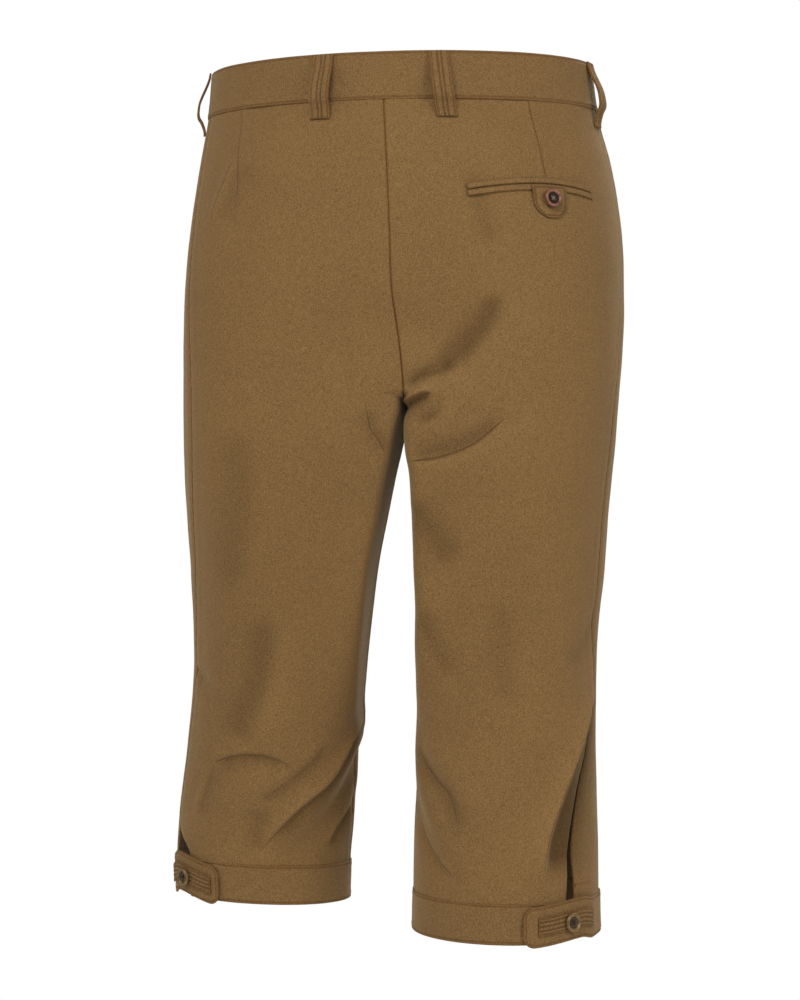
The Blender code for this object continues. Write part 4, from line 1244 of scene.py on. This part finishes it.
# %% Add a strip
def add_strip(name, place, along, half_width, base, thickness, rests_on, **look):
    """Makes a strip of folded cloth. look may hold: outline=((inset, depth), ...), grooves that follow the
    edge; lines=((across, depth), ...), lengthwise grooves; ridge=(inset, rise), a soft roll inside both
    edges; spacing of the columns; swell; fray of the edges; reverse_inside, for an inner face in the
    reverse, painted dark as the shade inside."""
    half_width = np.broadcast_to(np.asarray(half_width, float), along.shape)
    travel = distance_along(place(along, np.zeros_like(along), base))
    to_end = np.minimum(travel, travel[-1] - travel)[:, None]
    shares, on_top = ring_shares(half_width.max(), thickness / 2, look.get("spacing", 0.0007))
    fray = np.array([noise.noise(Vector((t * FRAYS_PER_METRE, 0, 3))) for t in travel])
    across = (half_width + look.get("fray", 0.0) * fray)[:, None] * shares
    to_edge = half_width[:, None] * (1 - abs(shares))
    lift = strip_lift(base, thickness, on_top, across, to_edge, to_end, look)
    points = place(along[:, None], across, lift)
    swell = undulation(points, STRIP_UNDULATION) * look.get("swell", 0.0003)
    above = place(along[:, None], across, lift + STEP_OFF) - points
    points = points + above * swell[..., None] / STEP_OFF
    rows, columns = across.shape
    faces = tube_faces(rows, columns)
    if inside_out(place, along, base):
        faces = [face[::-1] for face in faces]
    piece = add_piece(f"{name}_cloth", points, faces, BAND, (name,))
    if look.get("reverse_inside"):
        piece.data.materials.append(REVERSE_PAINTED_SHADE)
        inside = np.append(np.tile(~on_top, rows - 1), (False, False))
        piece.data.polygons.foreach_set("material_index", inside.astype(np.int32))
    # The cloth material paints shade along the strip's edges and ends, and along its grooves.
    sewn = [to_edge + 0 * across, to_end + 0 * across]
    sewn += [abs(np.minimum(to_edge, to_end) - inset) for inset, _ in look.get("outline", ())]
    sewn += [abs(across - line) for line, _ in look.get("lines", ())]
    mark(piece, "seam_and_edge_line", np.minimum.reduce(sewn))
    declare_cut(piece, points[:, on_top], turning=EDGE_TURNING)
    return piece


# %% [markdown]
# ## Thread
#
# Topstitching is a row of short stitches, each of which sinks into the cloth at both ends. A picture of
# dashes would do from afar. Here each stitch is a small tube with thin ends, so that it catches the light,
# and all the stitches of one owner are one mesh, because hundreds of objects would make the scene slow.

# %% Thread
STITCH_LENGTH, STITCH_GAP, THREAD_RADIUS = 0.0023, 0.0007, 0.00021
# how far a stitch lies below the flat top of its strip: in a groove, across it as a bar, and round the tab
IN_GROOVE, AS_BAR, ROUND_TAB = 0.0003, 0.0001, 0.0002
# share of the half length, share of the radius, lift in radii
STITCH_RINGS = np.array(((-1.0, 0.4, -0.7), (-0.6, 0.95, 0.0), (0.6, 0.95, 0.0), (1.0, 0.4, -0.7)))
THREAD_SIDES = 5
SEWN = {}


def point_at(distance, travel, line):
    return np.array([np.interp(distance, travel, line[:, k]) for k in range(3)])


def sew(owner, place, along, across, lift, length=STITCH_LENGTH):
    """Lays stitches along a line drawn on a piece. They join the thread of their owner."""
    along, across = np.broadcast_arrays(np.asarray(along, float), np.asarray(across, float))
    line = place(along, across, lift)
    above = place(along, across, lift + STEP_OFF) - line
    travel = distance_along(line)
    count = max(int(travel[-1] / (length + STITCH_GAP)), 1)
    for start in (np.arange(count) + 0.5) * travel[-1] / count:
        first, last = (point_at(start + aside, travel, line) for aside in (-length / 2, length / 2))
        normal = point_at(start, travel, above)
        SEWN.setdefault(owner, []).append((first, last, normal / np.linalg.norm(normal)))


def add_threads(owner, material=THREAD, radius=THREAD_RADIUS):
    """Makes one piece of all the stitches of an owner."""
    stitches = SEWN[owner]
    first, last, normal = (np.array([stitch[k] for stitch in stitches]) for k in range(3))
    ahead = (last - first) / np.linalg.norm(last - first, axis=1, keepdims=True)
    side = np.cross(ahead, normal)
    angles = circle_angles(THREAD_SIDES)
    rings = []
    for share, size, lift in STITCH_RINGS:
        centre = (first + last) / 2 + (last - first) / 2 * share + normal * lift * radius
        circle = [centre + radius * size * (np.cos(a) * side + np.sin(a) * normal) for a in angles]
        rings.append(np.stack(circle, axis=1))
    points = np.stack(rings, axis=1)
    one = tube_faces(len(STITCH_RINGS), THREAD_SIDES)
    faces = repeat_faces(one, len(STITCH_RINGS) * THREAD_SIDES, len(stitches))
    piece = add_piece(f"{owner}_stitching", points, faces, material)
    print(f"{owner}: {len(stitches)} stitches")
    return piece


# %% [markdown]
# ## Waistband
#
# The waistband is a straight strip of two layers with a stiffener between them, turned over at the top. It
# passes right round the body and laps over itself at the middle front, where it buttons. Its lower edge is
# sewn to the panels with the stitches hidden in the seam, so that edge stands up as a small roll above a
# dark line, partly the shade of the seam and partly shade painted along the band's edge.

# %% Waistband
WAIST_OVERLAP, OVERLAP_RAMP = 0.023, 0.040
WAISTBAND_LAP = WAIST_OVERLAP / (math.pi * HALF[LEFT][0, 1])
# A band's inner face lies this far under its outer one.
BAND_CLOTH = {"waist": 0.0027, "knee": 0.0026}


def waist_points(turn, height, lift):
    """Points round the whole waist: 0 at the middle front, 1 at the middle back by way of the right side."""
    turn, height, lift = np.broadcast_arrays(turn, height, lift)
    round_turn = np.mod(turn, 2.0)
    right = cloth_points(RIGHT, np.minimum(round_turn, 1), height, lift)
    left = cloth_points(LEFT, np.minimum(2 - round_turn, 1), height, lift)
    return np.where((round_turn <= 1)[..., None], right, left)


def on_waistband(turn, across, lift):
    """Up from the band's own face, which stands out where it laps over its other end."""
    over = ease(1 + (turn - (2 - WAISTBAND_LAP)) / OVERLAP_RAMP) * (FACED_CLOTH + SEAM_GAP)
    return waist_points(turn, across, BAND_PROUD + over + lift)


add_strip(
    "waistband",
    on_waistband,
    np.linspace(-WAISTBAND_LAP, 2 + WAISTBAND_LAP, 460),
    WAISTBAND_HEIGHT / 2,
    -BAND_CLOTH["waist"],
    BAND_CLOTH["waist"],
    "back_left_panel",
    outline=((0.0022, 0.00035),),
    ridge=(0.0032, 0.0003),
    spacing=0.0010,
    swell=0.0006,
)

# %% [markdown]
# ## Belt loops
#
# A belt loop is a strip folded in three and sewn down its middle with two close rows. It is sewn to the top
# of the waistband and, below it, to the breeches, and it bows out between so that a belt can pass. The six
# loops differ only in where they are sewn on, so one table and one loop in the code make them all.

# %% Belt loops
# name, side, top_turn, bottom_turn
BELT_LOOPS = (
    ("belt_loop_back_left", LEFT, 0.9020, 0.9000),
    ("belt_loop_back_right", RIGHT, 0.9110, 0.9040),
    ("belt_loop_side_left", LEFT, 0.5500, 0.5540),
    ("belt_loop_side_right", RIGHT, 0.5450, 0.5540),
    ("belt_loop_front_left", LEFT, 0.1220, 0.1220),
    ("belt_loop_front_right", RIGHT, 0.1220, 0.1220),
)
LOOP_WIDTH, LOOP_TOP, LOOP_FOOT = 0.017, 0.0190, -0.034
# where the bow reaches its full height from either end, how far it stands clear, and how wide the step down
# off the waistband is
LOOP_BOW_SHARES, LOOP_CLEAR, LOOP_STEP = (0.36, 0.56), 0.0072, 0.004
LOOP_ROWS, LOOP_EDGE, LOOP_CLOTH = 0.0016, 0.0066, 0.0018
# across, depth
LOOP_GROOVES = ((-LOOP_ROWS, 0.0005), (LOOP_ROWS, 0.0005), (-LOOP_EDGE, 0.0002), (LOOP_EDGE, 0.0002))
# places along a loop, closer together at its ends, then where its two bars are sewn, and how far they reach
LOOP_SHARES = np.concatenate(([0, 0.006, 0.02], np.linspace(0.04, 0.96, 48), [0.98, 0.994, 1]))
LOOP_BARS, BAR_REACH, BAR_STITCH = (0.045, 0.955), 0.42, 0.0013
# a small step round the waist, to find which way is sideways
TURN_STEP = 0.004


def loop_place(side, top_turn, bottom_turn):
    def place(share, across, lift):
        heights = LOOP_FOOT + (LOOP_TOP - LOOP_FOOT) * share
        turns = bottom_turn + (top_turn - bottom_turn) * share
        bow = ease(share / LOOP_BOW_SHARES[0]) * ease((1 - share) / LOOP_BOW_SHARES[1])
        on_band = ease(1 + (heights + WAISTBAND_HEIGHT / 2) / LOOP_STEP)
        lift = SEAM_GAP + BAND_PROUD * on_band + LOOP_CLEAR * bow + lift
        middle = cloth_points(side, turns, heights, lift)
        aside = cloth_points(side, turns + TURN_STEP, heights)
        aside = aside - cloth_points(side, turns - TURN_STEP, heights)
        aside /= np.linalg.norm(aside, axis=-1, keepdims=True)
        return middle + aside * np.asarray(across)[..., None]

    return place


for NAME, SIDE, TOP_TURN, BOTTOM_TURN in BELT_LOOPS:
    PLACE = loop_place(SIDE, TOP_TURN, BOTTOM_TURN)
    add_strip(
        NAME, PLACE, LOOP_SHARES, LOOP_WIDTH / 2, 0, LOOP_CLOTH, "waistband_cloth",
        lines=LOOP_GROOVES, spacing=0.0005, fray=0.0004,
    )
    for ROW in (-LOOP_ROWS, LOOP_ROWS):
        sew("belt_loops", PLACE, LOOP_SHARES, ROW, LOOP_CLOTH - IN_GROOVE)
    for END in LOOP_BARS:
        ACROSS = np.linspace(-BAR_REACH, BAR_REACH, 12) * LOOP_WIDTH
        sew("belt_loops", PLACE, END, ACROSS, LOOP_CLOTH - AS_BAR, BAR_STITCH)
add_threads("belt_loops")

# %% [markdown]
# ## Back pocket
#
# A jetted pocket is a slit in the panel, bound by two narrow welts. A tab with a buttonhole comes out of
# the slit, laps over the lower welt and buttons shut. Only the welts, the tab, the short bars of stitches
# at the slit's ends and the button show.

# %% Pocket
# the slit: the turns at its middle and ends, its height, and how much its ends hang
POCKET_MIDDLE, POCKET_TURNS, POCKET_HEIGHT, POCKET_DIP = 0.765, (0.649, 0.897), -0.0867, 0.35
SLIT_GAP, WELT_HEIGHT, WELT_CLOTH = 0.0010, 0.0045, 0.0012
WELT_OVERLAP, WELT_STITCH = 0.0002, 0.0014
WELT_BARS = (POCKET_TURNS[0] + 0.005, POCKET_TURNS[1] - 0.005, POCKET_TURNS[1] - 0.018)
# the tab: where it is, then how its tip is rounded, how it drops off the welt, and where its button is
TAB_MIDDLE, TAB_HALF_TURN, TAB_TOP, TAB_TIP, TAB_SHOULDER = 0.7560, 0.034, -0.0880, -0.1140, -0.1030
TAB_CLOTH, TAB_TIP_SHARE, TAB_ROUNDING, TAB_FALL, TAB_BUTTON_HEIGHT = 0.0014, 0.16, 1.6, 0.008, -0.0990
TAB_INSET, TAB_STITCH = 0.0020, 0.0017
# the buttonhole: how far below the tab's top it starts, half its width, and its short stitches
HOLE_TOP, HOLE_ASIDE, HOLE_STITCH = 0.002, 0.0006, 0.0007
# metres to a turn, measured on the form where the tab lies
TAB_RUN = float(np.linalg.norm(np.diff(body_form(RIGHT, np.array((0.746, 0.766)), -0.1), axis=0)) / 0.02)


def slit_height(turn):
    return POCKET_HEIGHT - POCKET_DIP * (turn - POCKET_MIDDLE) ** 2


def welt_place(direction):
    middle = direction * (SLIT_GAP + WELT_HEIGHT) / 2

    def place(turn, across, lift):
        return cloth_points(RIGHT, turn, slit_height(turn) + middle + across, SEAM_GAP + lift)

    return place


def on_tab(height, across, lift):
    over_welt = SEAM_GAP + WELT_CLOTH + SEAM_GAP
    below_welt = ease((slit_height(TAB_MIDDLE) - SLIT_GAP - WELT_HEIGHT - height) / TAB_FALL)
    rest = over_welt - (over_welt - 2 * SEAM_GAP) * below_welt
    return cloth_points(RIGHT, TAB_MIDDLE - across / TAB_RUN, height, rest + lift)


for NAME, DIRECTION in (("pocket_welt_upper", 1), ("pocket_welt_lower", -1)):
    TURNS = np.linspace(*POCKET_TURNS, 90)
    HALF_WIDTH = WELT_HEIGHT / 2 + WELT_OVERLAP
    add_strip(
        NAME, welt_place(DIRECTION), TURNS, HALF_WIDTH, 0, WELT_CLOTH, "back_right_panel", spacing=0.0005
    )
    ACROSS = np.linspace(-0.5, 0.5, 8) * WELT_HEIGHT
    for END_TURN in WELT_BARS:
        sew("pocket", welt_place(DIRECTION), END_TURN, ACROSS, WELT_CLOTH, WELT_STITCH)

TAB_HEIGHTS = TAB_TIP + (TAB_TOP - TAB_TIP) * (1 - np.cos(np.linspace(0, math.pi / 2, 44)))
TO_SHOULDER = 1 - np.clip((TAB_HEIGHTS - TAB_TIP) / (TAB_SHOULDER - TAB_TIP), 0, 1)
TAB_ROUND = (1 - TO_SHOULDER**TAB_ROUNDING) ** (1 / TAB_ROUNDING)
TAB_HALF = TAB_HALF_TURN * TAB_RUN * (TAB_TIP_SHARE + (1 - TAB_TIP_SHARE) * TAB_ROUND)
add_strip(
    "pocket_tab", on_tab, TAB_HEIGHTS, TAB_HALF, 0, TAB_CLOTH, "pocket_welt_lower_cloth",
    outline=((TAB_INSET, 0.0004),), spacing=0.0005,
)
INNER = TAB_HEIGHTS - TAB_TIP > TAB_INSET
HOLE_HEIGHTS = np.linspace(TAB_TOP - HOLE_TOP, TAB_BUTTON_HEIGHT, 20)
for HAND in (-1, 1):
    EDGE = HAND * (TAB_HALF[INNER] - TAB_INSET)
    sew("pocket", on_tab, TAB_HEIGHTS[INNER], EDGE, TAB_CLOTH - ROUND_TAB, TAB_STITCH)
    sew("buttonholes", on_tab, HOLE_HEIGHTS, HAND * HOLE_ASIDE, TAB_CLOTH, HOLE_STITCH)
add_threads("pocket")

# %% [markdown]
# ## Knee bands
#
# Each knee band starts under its own strap at the outer side, goes once round the leg and ends in the
# rounded strap, which points to the back and buttons over a stitched patch. The patch is a scrap of cloth,
# sewn down along its length, that keeps the buttonhole from tearing, and its raw edges have frayed a
# little. The band's inner face has the cloth's reverse, painted dark as the shade inside the leg, which
# shows where a vent stands open.

# %% Knee bands
# Turns at which the band starts under its strap, and at which the strap ends, one lap further on
UNDER_END = {LEFT: 0.621, RIGHT: 0.634}
STRAP_END = {LEFT: 0.697, RIGHT: 0.707}
# where the strap lifts off the leg to cross the under end, where it rises, and where it falls
STRAP_RISE_TURNS, STRAP_UP_TURNS, STRAP_DOWN_TURNS = (0.525, 0.585), (0.560, 0.595), (0.590, 0.712)
# how far the strap rises above the band's line, and how far it then falls
STRAP_SHIFT = {LEFT: (0.0045, 0.0085), RIGHT: (0.0027, 0.0055)}
STRAP_CORNER = 0.010
STRAP_STITCHED_FROM = 1.53
BAND_INSET = 0.0021


def passed_share(turn, turns):
    """The share of a stretch of turns that is passed on the second lap."""
    first, last = turns
    return (turn - 1 - first) / (last - first)


def strap_lift(turn):
    """How far the band's outer face stands off the leg: further where the strap crosses the under end."""
    return BAND_PROUD + (FACED_CLOTH + SEAM_GAP) * ease(passed_share(turn, STRAP_RISE_TURNS))


def strap_middle(side, turn):
    """The middle line of band and strap. The strap rises above the band's line, then falls to its end."""
    rise, fall = STRAP_SHIFT[side]
    up, down = (ease(passed_share(turn, turns)) for turns in (STRAP_UP_TURNS, STRAP_DOWN_TURNS))
    return HEM[side][0] + KNEEBAND_HEIGHT / 2 + rise * up - fall * down


def kneeband_place(side):
    def place(turn, across, lift):
        return cloth_points(side, turn, strap_middle(side, turn) + across, strap_lift(turn) + lift)

    return place


for SIDE in (LEFT, RIGHT):
    LAST = 1 + STRAP_END[SIDE]
    ROUNDING = LAST - STRAP_CORNER / GIRTH * np.cos(np.linspace(0, math.pi / 2, 16))
    TURNS = np.concatenate((np.linspace(UNDER_END[SIDE], LAST - STRAP_CORNER / GIRTH, 330)[:-1], ROUNDING))
    SHORT = np.clip(1 - (LAST - TURNS) * GIRTH / STRAP_CORNER, 0, 1)
    HALF_WIDTH = KNEEBAND_HEIGHT / 2 - STRAP_CORNER * (1 - np.sqrt(1 - SHORT**2))
    NAME = f"kneeband_{NAMES[SIDE]}"
    add_strip(
        NAME, kneeband_place(SIDE), TURNS, HALF_WIDTH, -BAND_CLOTH["knee"], BAND_CLOTH["knee"],
        f"back_{NAMES[SIDE]}_panel", outline=((BAND_INSET, 0.0003),), ridge=(0.0036, 0.0002), swell=0.0005,
        reverse_inside=True,
    )
    STRAP = (TURNS > STRAP_STITCHED_FROM) & (TURNS < LAST - BAND_INSET / GIRTH)
    for HAND in (-1, 1):
        EDGE = HAND * (HALF_WIDTH[STRAP] - BAND_INSET)
        sew("knee_straps", kneeband_place(SIDE), TURNS[STRAP], EDGE, -IN_GROOVE)

# %% Buttonhole patches
PATCH_TURNS, PATCH_HALF_HEIGHT, PATCH_CLOTH = (0.566, 0.683), 0.0076, 0.0012
STRAP_BUTTON_TURN, STRAP_BUTTON_BELOW = 0.624, 0.0015
PATCH_INSET = 0.0014
PATCH_ROWS = (-0.0034, 0.0, 0.0034)
PATCH_BARS = (PATCH_TURNS[0] + 0.005, PATCH_TURNS[1] - 0.008)
PATCH_BAR_REACH, PATCH_BAR_STITCH = 0.85, 0.0014


def patch_place(side):
    def place(turn, across, lift):
        height = strap_middle(side, 1 + turn) + across
        return cloth_points(side, turn, height, strap_lift(1 + turn) + SEAM_GAP + lift)

    return place


for SIDE in (LEFT, RIGHT):
    NAME = f"strap_patch_{NAMES[SIDE]}"
    TURNS = np.linspace(*PATCH_TURNS, 96)
    add_strip(
        NAME, patch_place(SIDE), TURNS, PATCH_HALF_HEIGHT, 0, PATCH_CLOTH, f"kneeband_{NAMES[SIDE]}_cloth",
        outline=((PATCH_INSET, 0.0003),), lines=[(row, 0.0006) for row in PATCH_ROWS],
        spacing=0.0005, fray=0.0004,
    )
    for ROW in (*PATCH_ROWS, -PATCH_HALF_HEIGHT + PATCH_INSET, PATCH_HALF_HEIGHT - PATCH_INSET):
        sew("knee_straps", patch_place(SIDE), TURNS[3:-3], ROW, PATCH_CLOTH - IN_GROOVE)
    ACROSS = np.linspace(-PATCH_BAR_REACH, PATCH_BAR_REACH, 12) * PATCH_HALF_HEIGHT
    for END_TURN in PATCH_BARS:
        sew("knee_straps", patch_place(SIDE), END_TURN, ACROSS, PATCH_CLOTH - AS_BAR, PATCH_BAR_STITCH)
add_threads("knee_straps")
add_threads("buttonholes")

# %% [markdown]
# ## Buttons
#
# Four sewn buttons close the breeches: polished horn on the pocket and the waistband, aged brass on the
# knee straps. A button is a turned shape, so its outline is spun round an axis. Its face is dished, four
# holes go through the middle, and the thread crosses between them, pale on the horn and dark on the brass.
# The holes are cut with a Boolean modifier, because no turned outline has them.

# %% Turned buttons
BUTTON_RADIUS = 0.0076
# Outline from the middle of the back to the middle of the dished face. radius, height, both in radii
BACK_OUTLINE = ((0.0, 0.0), (0.70, 0.0), (0.88, 0.05), (0.97, 0.14), (1.00, 0.25))
RIM_OUTLINE = (
    (1.00, 0.30), (0.97, 0.40), (0.91, 0.47), (0.84, 0.50), (0.76, 0.49), (0.68, 0.44), (0.62, 0.36)
)
MIDDLE_OUTLINE = ((0.62, 0.36), (0.58, 0.31), (0.45, 0.28), (0.20, 0.27), (0.0, 0.27))
BUTTON_STEPS = 48
# The middle of the face has its own colour: all that lies inside this radius and above this height.
DISH_RADIUS, DISH_ABOVE = 0.62, 0.2
HOLE_SPREAD, HOLE_RADIUS = 0.24, 0.085
BUTTON_THREAD = 0.00026
# how far a strand lies beside the middle of its pair, how high it lies in radii, and in hole spreads how far
# out its ends are and how long it is
STRAND_ASIDE, STRAND_LIFT, STRAND_REACH, STRAND_LENGTH = 0.00025, 0.29, 1.05, 2.6


def spin(outline):
    """Points and faces of an outline turned round the Z axis. A radius of 0 stays a pin's breadth open."""
    angles = circle_angles(BUTTON_STEPS)
    radius, height = np.array(outline).T[..., None]
    radius = np.maximum(radius, 1e-4)
    points = np.broadcast_arrays(np.cos(angles) * radius, np.sin(angles) * radius, height)
    return np.stack(points, axis=-1), grid_faces(len(outline), BUTTON_STEPS, ring=True)


def seat(piece, side, turn, height, lift):
    """Sets a piece that was made round the origin on the cloth, facing out."""
    normal = Vector(outward(side, turn, height))
    upright = normal.to_track_quat("Z", "Y").to_matrix().to_4x4()
    piece.data.transform(Matrix.Translation(Vector(cloth_points(side, turn, height, lift))) @ upright)


def hole_rods():
    """Four upright rods in one object, where the holes go."""
    rod, _ = spin(((HOLE_RADIUS, -1), (HOLE_RADIUS, 2)))
    points = [rod + (x * HOLE_SPREAD, y * HOLE_SPREAD, 0) for x in (-1, 1) for y in (-1, 1)]
    faces = repeat_faces(tube_faces(2, BUTTON_STEPS), 2 * BUTTON_STEPS, len(points))
    mesh = bpy.data.meshes.new("holes")
    mesh.from_pydata(np.concatenate(points).reshape(-1, 3).tolist(), [], faces)
    rods = bpy.data.objects.new("holes", mesh)
    bpy.context.scene.collection.objects.link(rods)
    return rods


def cut_holes(piece):
    cutter = hole_rods()
    cut = piece.modifiers.new("Holes", "BOOLEAN")
    cut.object = cutter
    cut.operation = "DIFFERENCE"
    with bpy.context.temp_override(object=piece, active_object=piece):
        bpy.ops.object.modifier_apply(modifier="Holes")
    bpy.data.objects.remove(cutter)


def add_button(name, side, turn, height, lift, rim_material, middle_material, slot):
    points, faces = spin(BACK_OUTLINE + RIM_OUTLINE + MIDDLE_OUTLINE[1:])
    piece = add_piece(f"{name}_turned", points, faces, rim_material, (name,))
    piece.data.materials.append(middle_material)
    cut_holes(piece)
    for face in piece.data.polygons:
        if face.center.xy.length < DISH_RADIUS and face.center.z > DISH_ABOVE:
            face.material_index = 1
    piece.data.transform(Matrix.Scale(BUTTON_RADIUS, 4))
    seat(piece, side, turn, height, lift)
    piece.data.shade_smooth()
    return piece


def sew_on_button(owner, side, turn, height, lift):
    """Thread that crosses from hole to hole."""
    normal = outward(side, turn, height)
    to_right = np.cross(normal, (0, 0, 1))
    to_right /= np.linalg.norm(to_right)
    upward = np.cross(to_right, normal)

    def place(along, across, rise):
        form = cloth_points(side, turn, height, lift + rise)
        return form + np.asarray(along)[..., None] * to_right + np.asarray(across)[..., None] * upward

    spread = HOLE_SPREAD * BUTTON_RADIUS
    ends = np.array((-spread, spread)) * STRAND_REACH
    for slope in (-1, 1):
        for aside in (-STRAND_ASIDE, STRAND_ASIDE):
            across = slope * ends - slope * aside
            sew(owner, place, ends + aside, across, STRAND_LIFT * BUTTON_RADIUS, STRAND_LENGTH * spread)


# %% Where the buttons sit
ON_TAB = SEAM_GAP + WELT_CLOTH + SEAM_GAP + TAB_CLOTH + SEAM_GAP
ON_BAND = BAND_PROUD + FACED_CLOTH + SEAM_GAP + SEAM_GAP
WAIST_BUTTON_TURN = 0.020
HORN_LOOK = (HORN, HORN_MIDDLE, "button_horn")
BRASS_LOOK = (BRASS, BRASS_MIDDLE, "button_brass")
# name, side, turn, height, lift, look, owner of the thread
BUTTONS = [
    ("pocket_button", RIGHT, TAB_MIDDLE, TAB_BUTTON_HEIGHT, ON_TAB, HORN_LOOK, "buttons"),
    ("waist_button", RIGHT, WAIST_BUTTON_TURN, 0.0, ON_BAND, HORN_LOOK, "buttons"),
]
for SIDE in (LEFT, RIGHT):
    ON_PATCH = strap_lift(1 + STRAP_BUTTON_TURN) + SEAM_GAP + PATCH_CLOTH + SEAM_GAP
    HEIGHT = strap_middle(SIDE, 1 + STRAP_BUTTON_TURN) - STRAP_BUTTON_BELOW
    NAME = f"strap_button_{NAMES[SIDE]}"
    BUTTONS.append((NAME, SIDE, STRAP_BUTTON_TURN, HEIGHT, ON_PATCH, BRASS_LOOK, "strap_buttons"))
for NAME, SIDE, TURN, HEIGHT, LIFT, LOOK, OWNER in BUTTONS:
    add_button(NAME, SIDE, TURN, HEIGHT, LIFT, *LOOK)
    sew_on_button(OWNER, SIDE, TURN, HEIGHT, LIFT)
add_threads("buttons", PALE_THREAD, BUTTON_THREAD)
add_threads("strap_buttons", DARK_THREAD, BUTTON_THREAD)

# %% [markdown]
# ## Fly
#
# Behind the middle front seam lies a narrow shield of cloth. The frame's own solid has the right shape for
# it, so it keeps that and only gets the cloth material.

# %% Fly shield
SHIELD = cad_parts["fly_shield"]
SHIELD.data.materials.clear()
SHIELD.data.materials.append(cloth_material("moleskin_shield", MOLESKIN))

print("whole cut:", round(sum(CUT_AREAS.values()), 3), "m2")
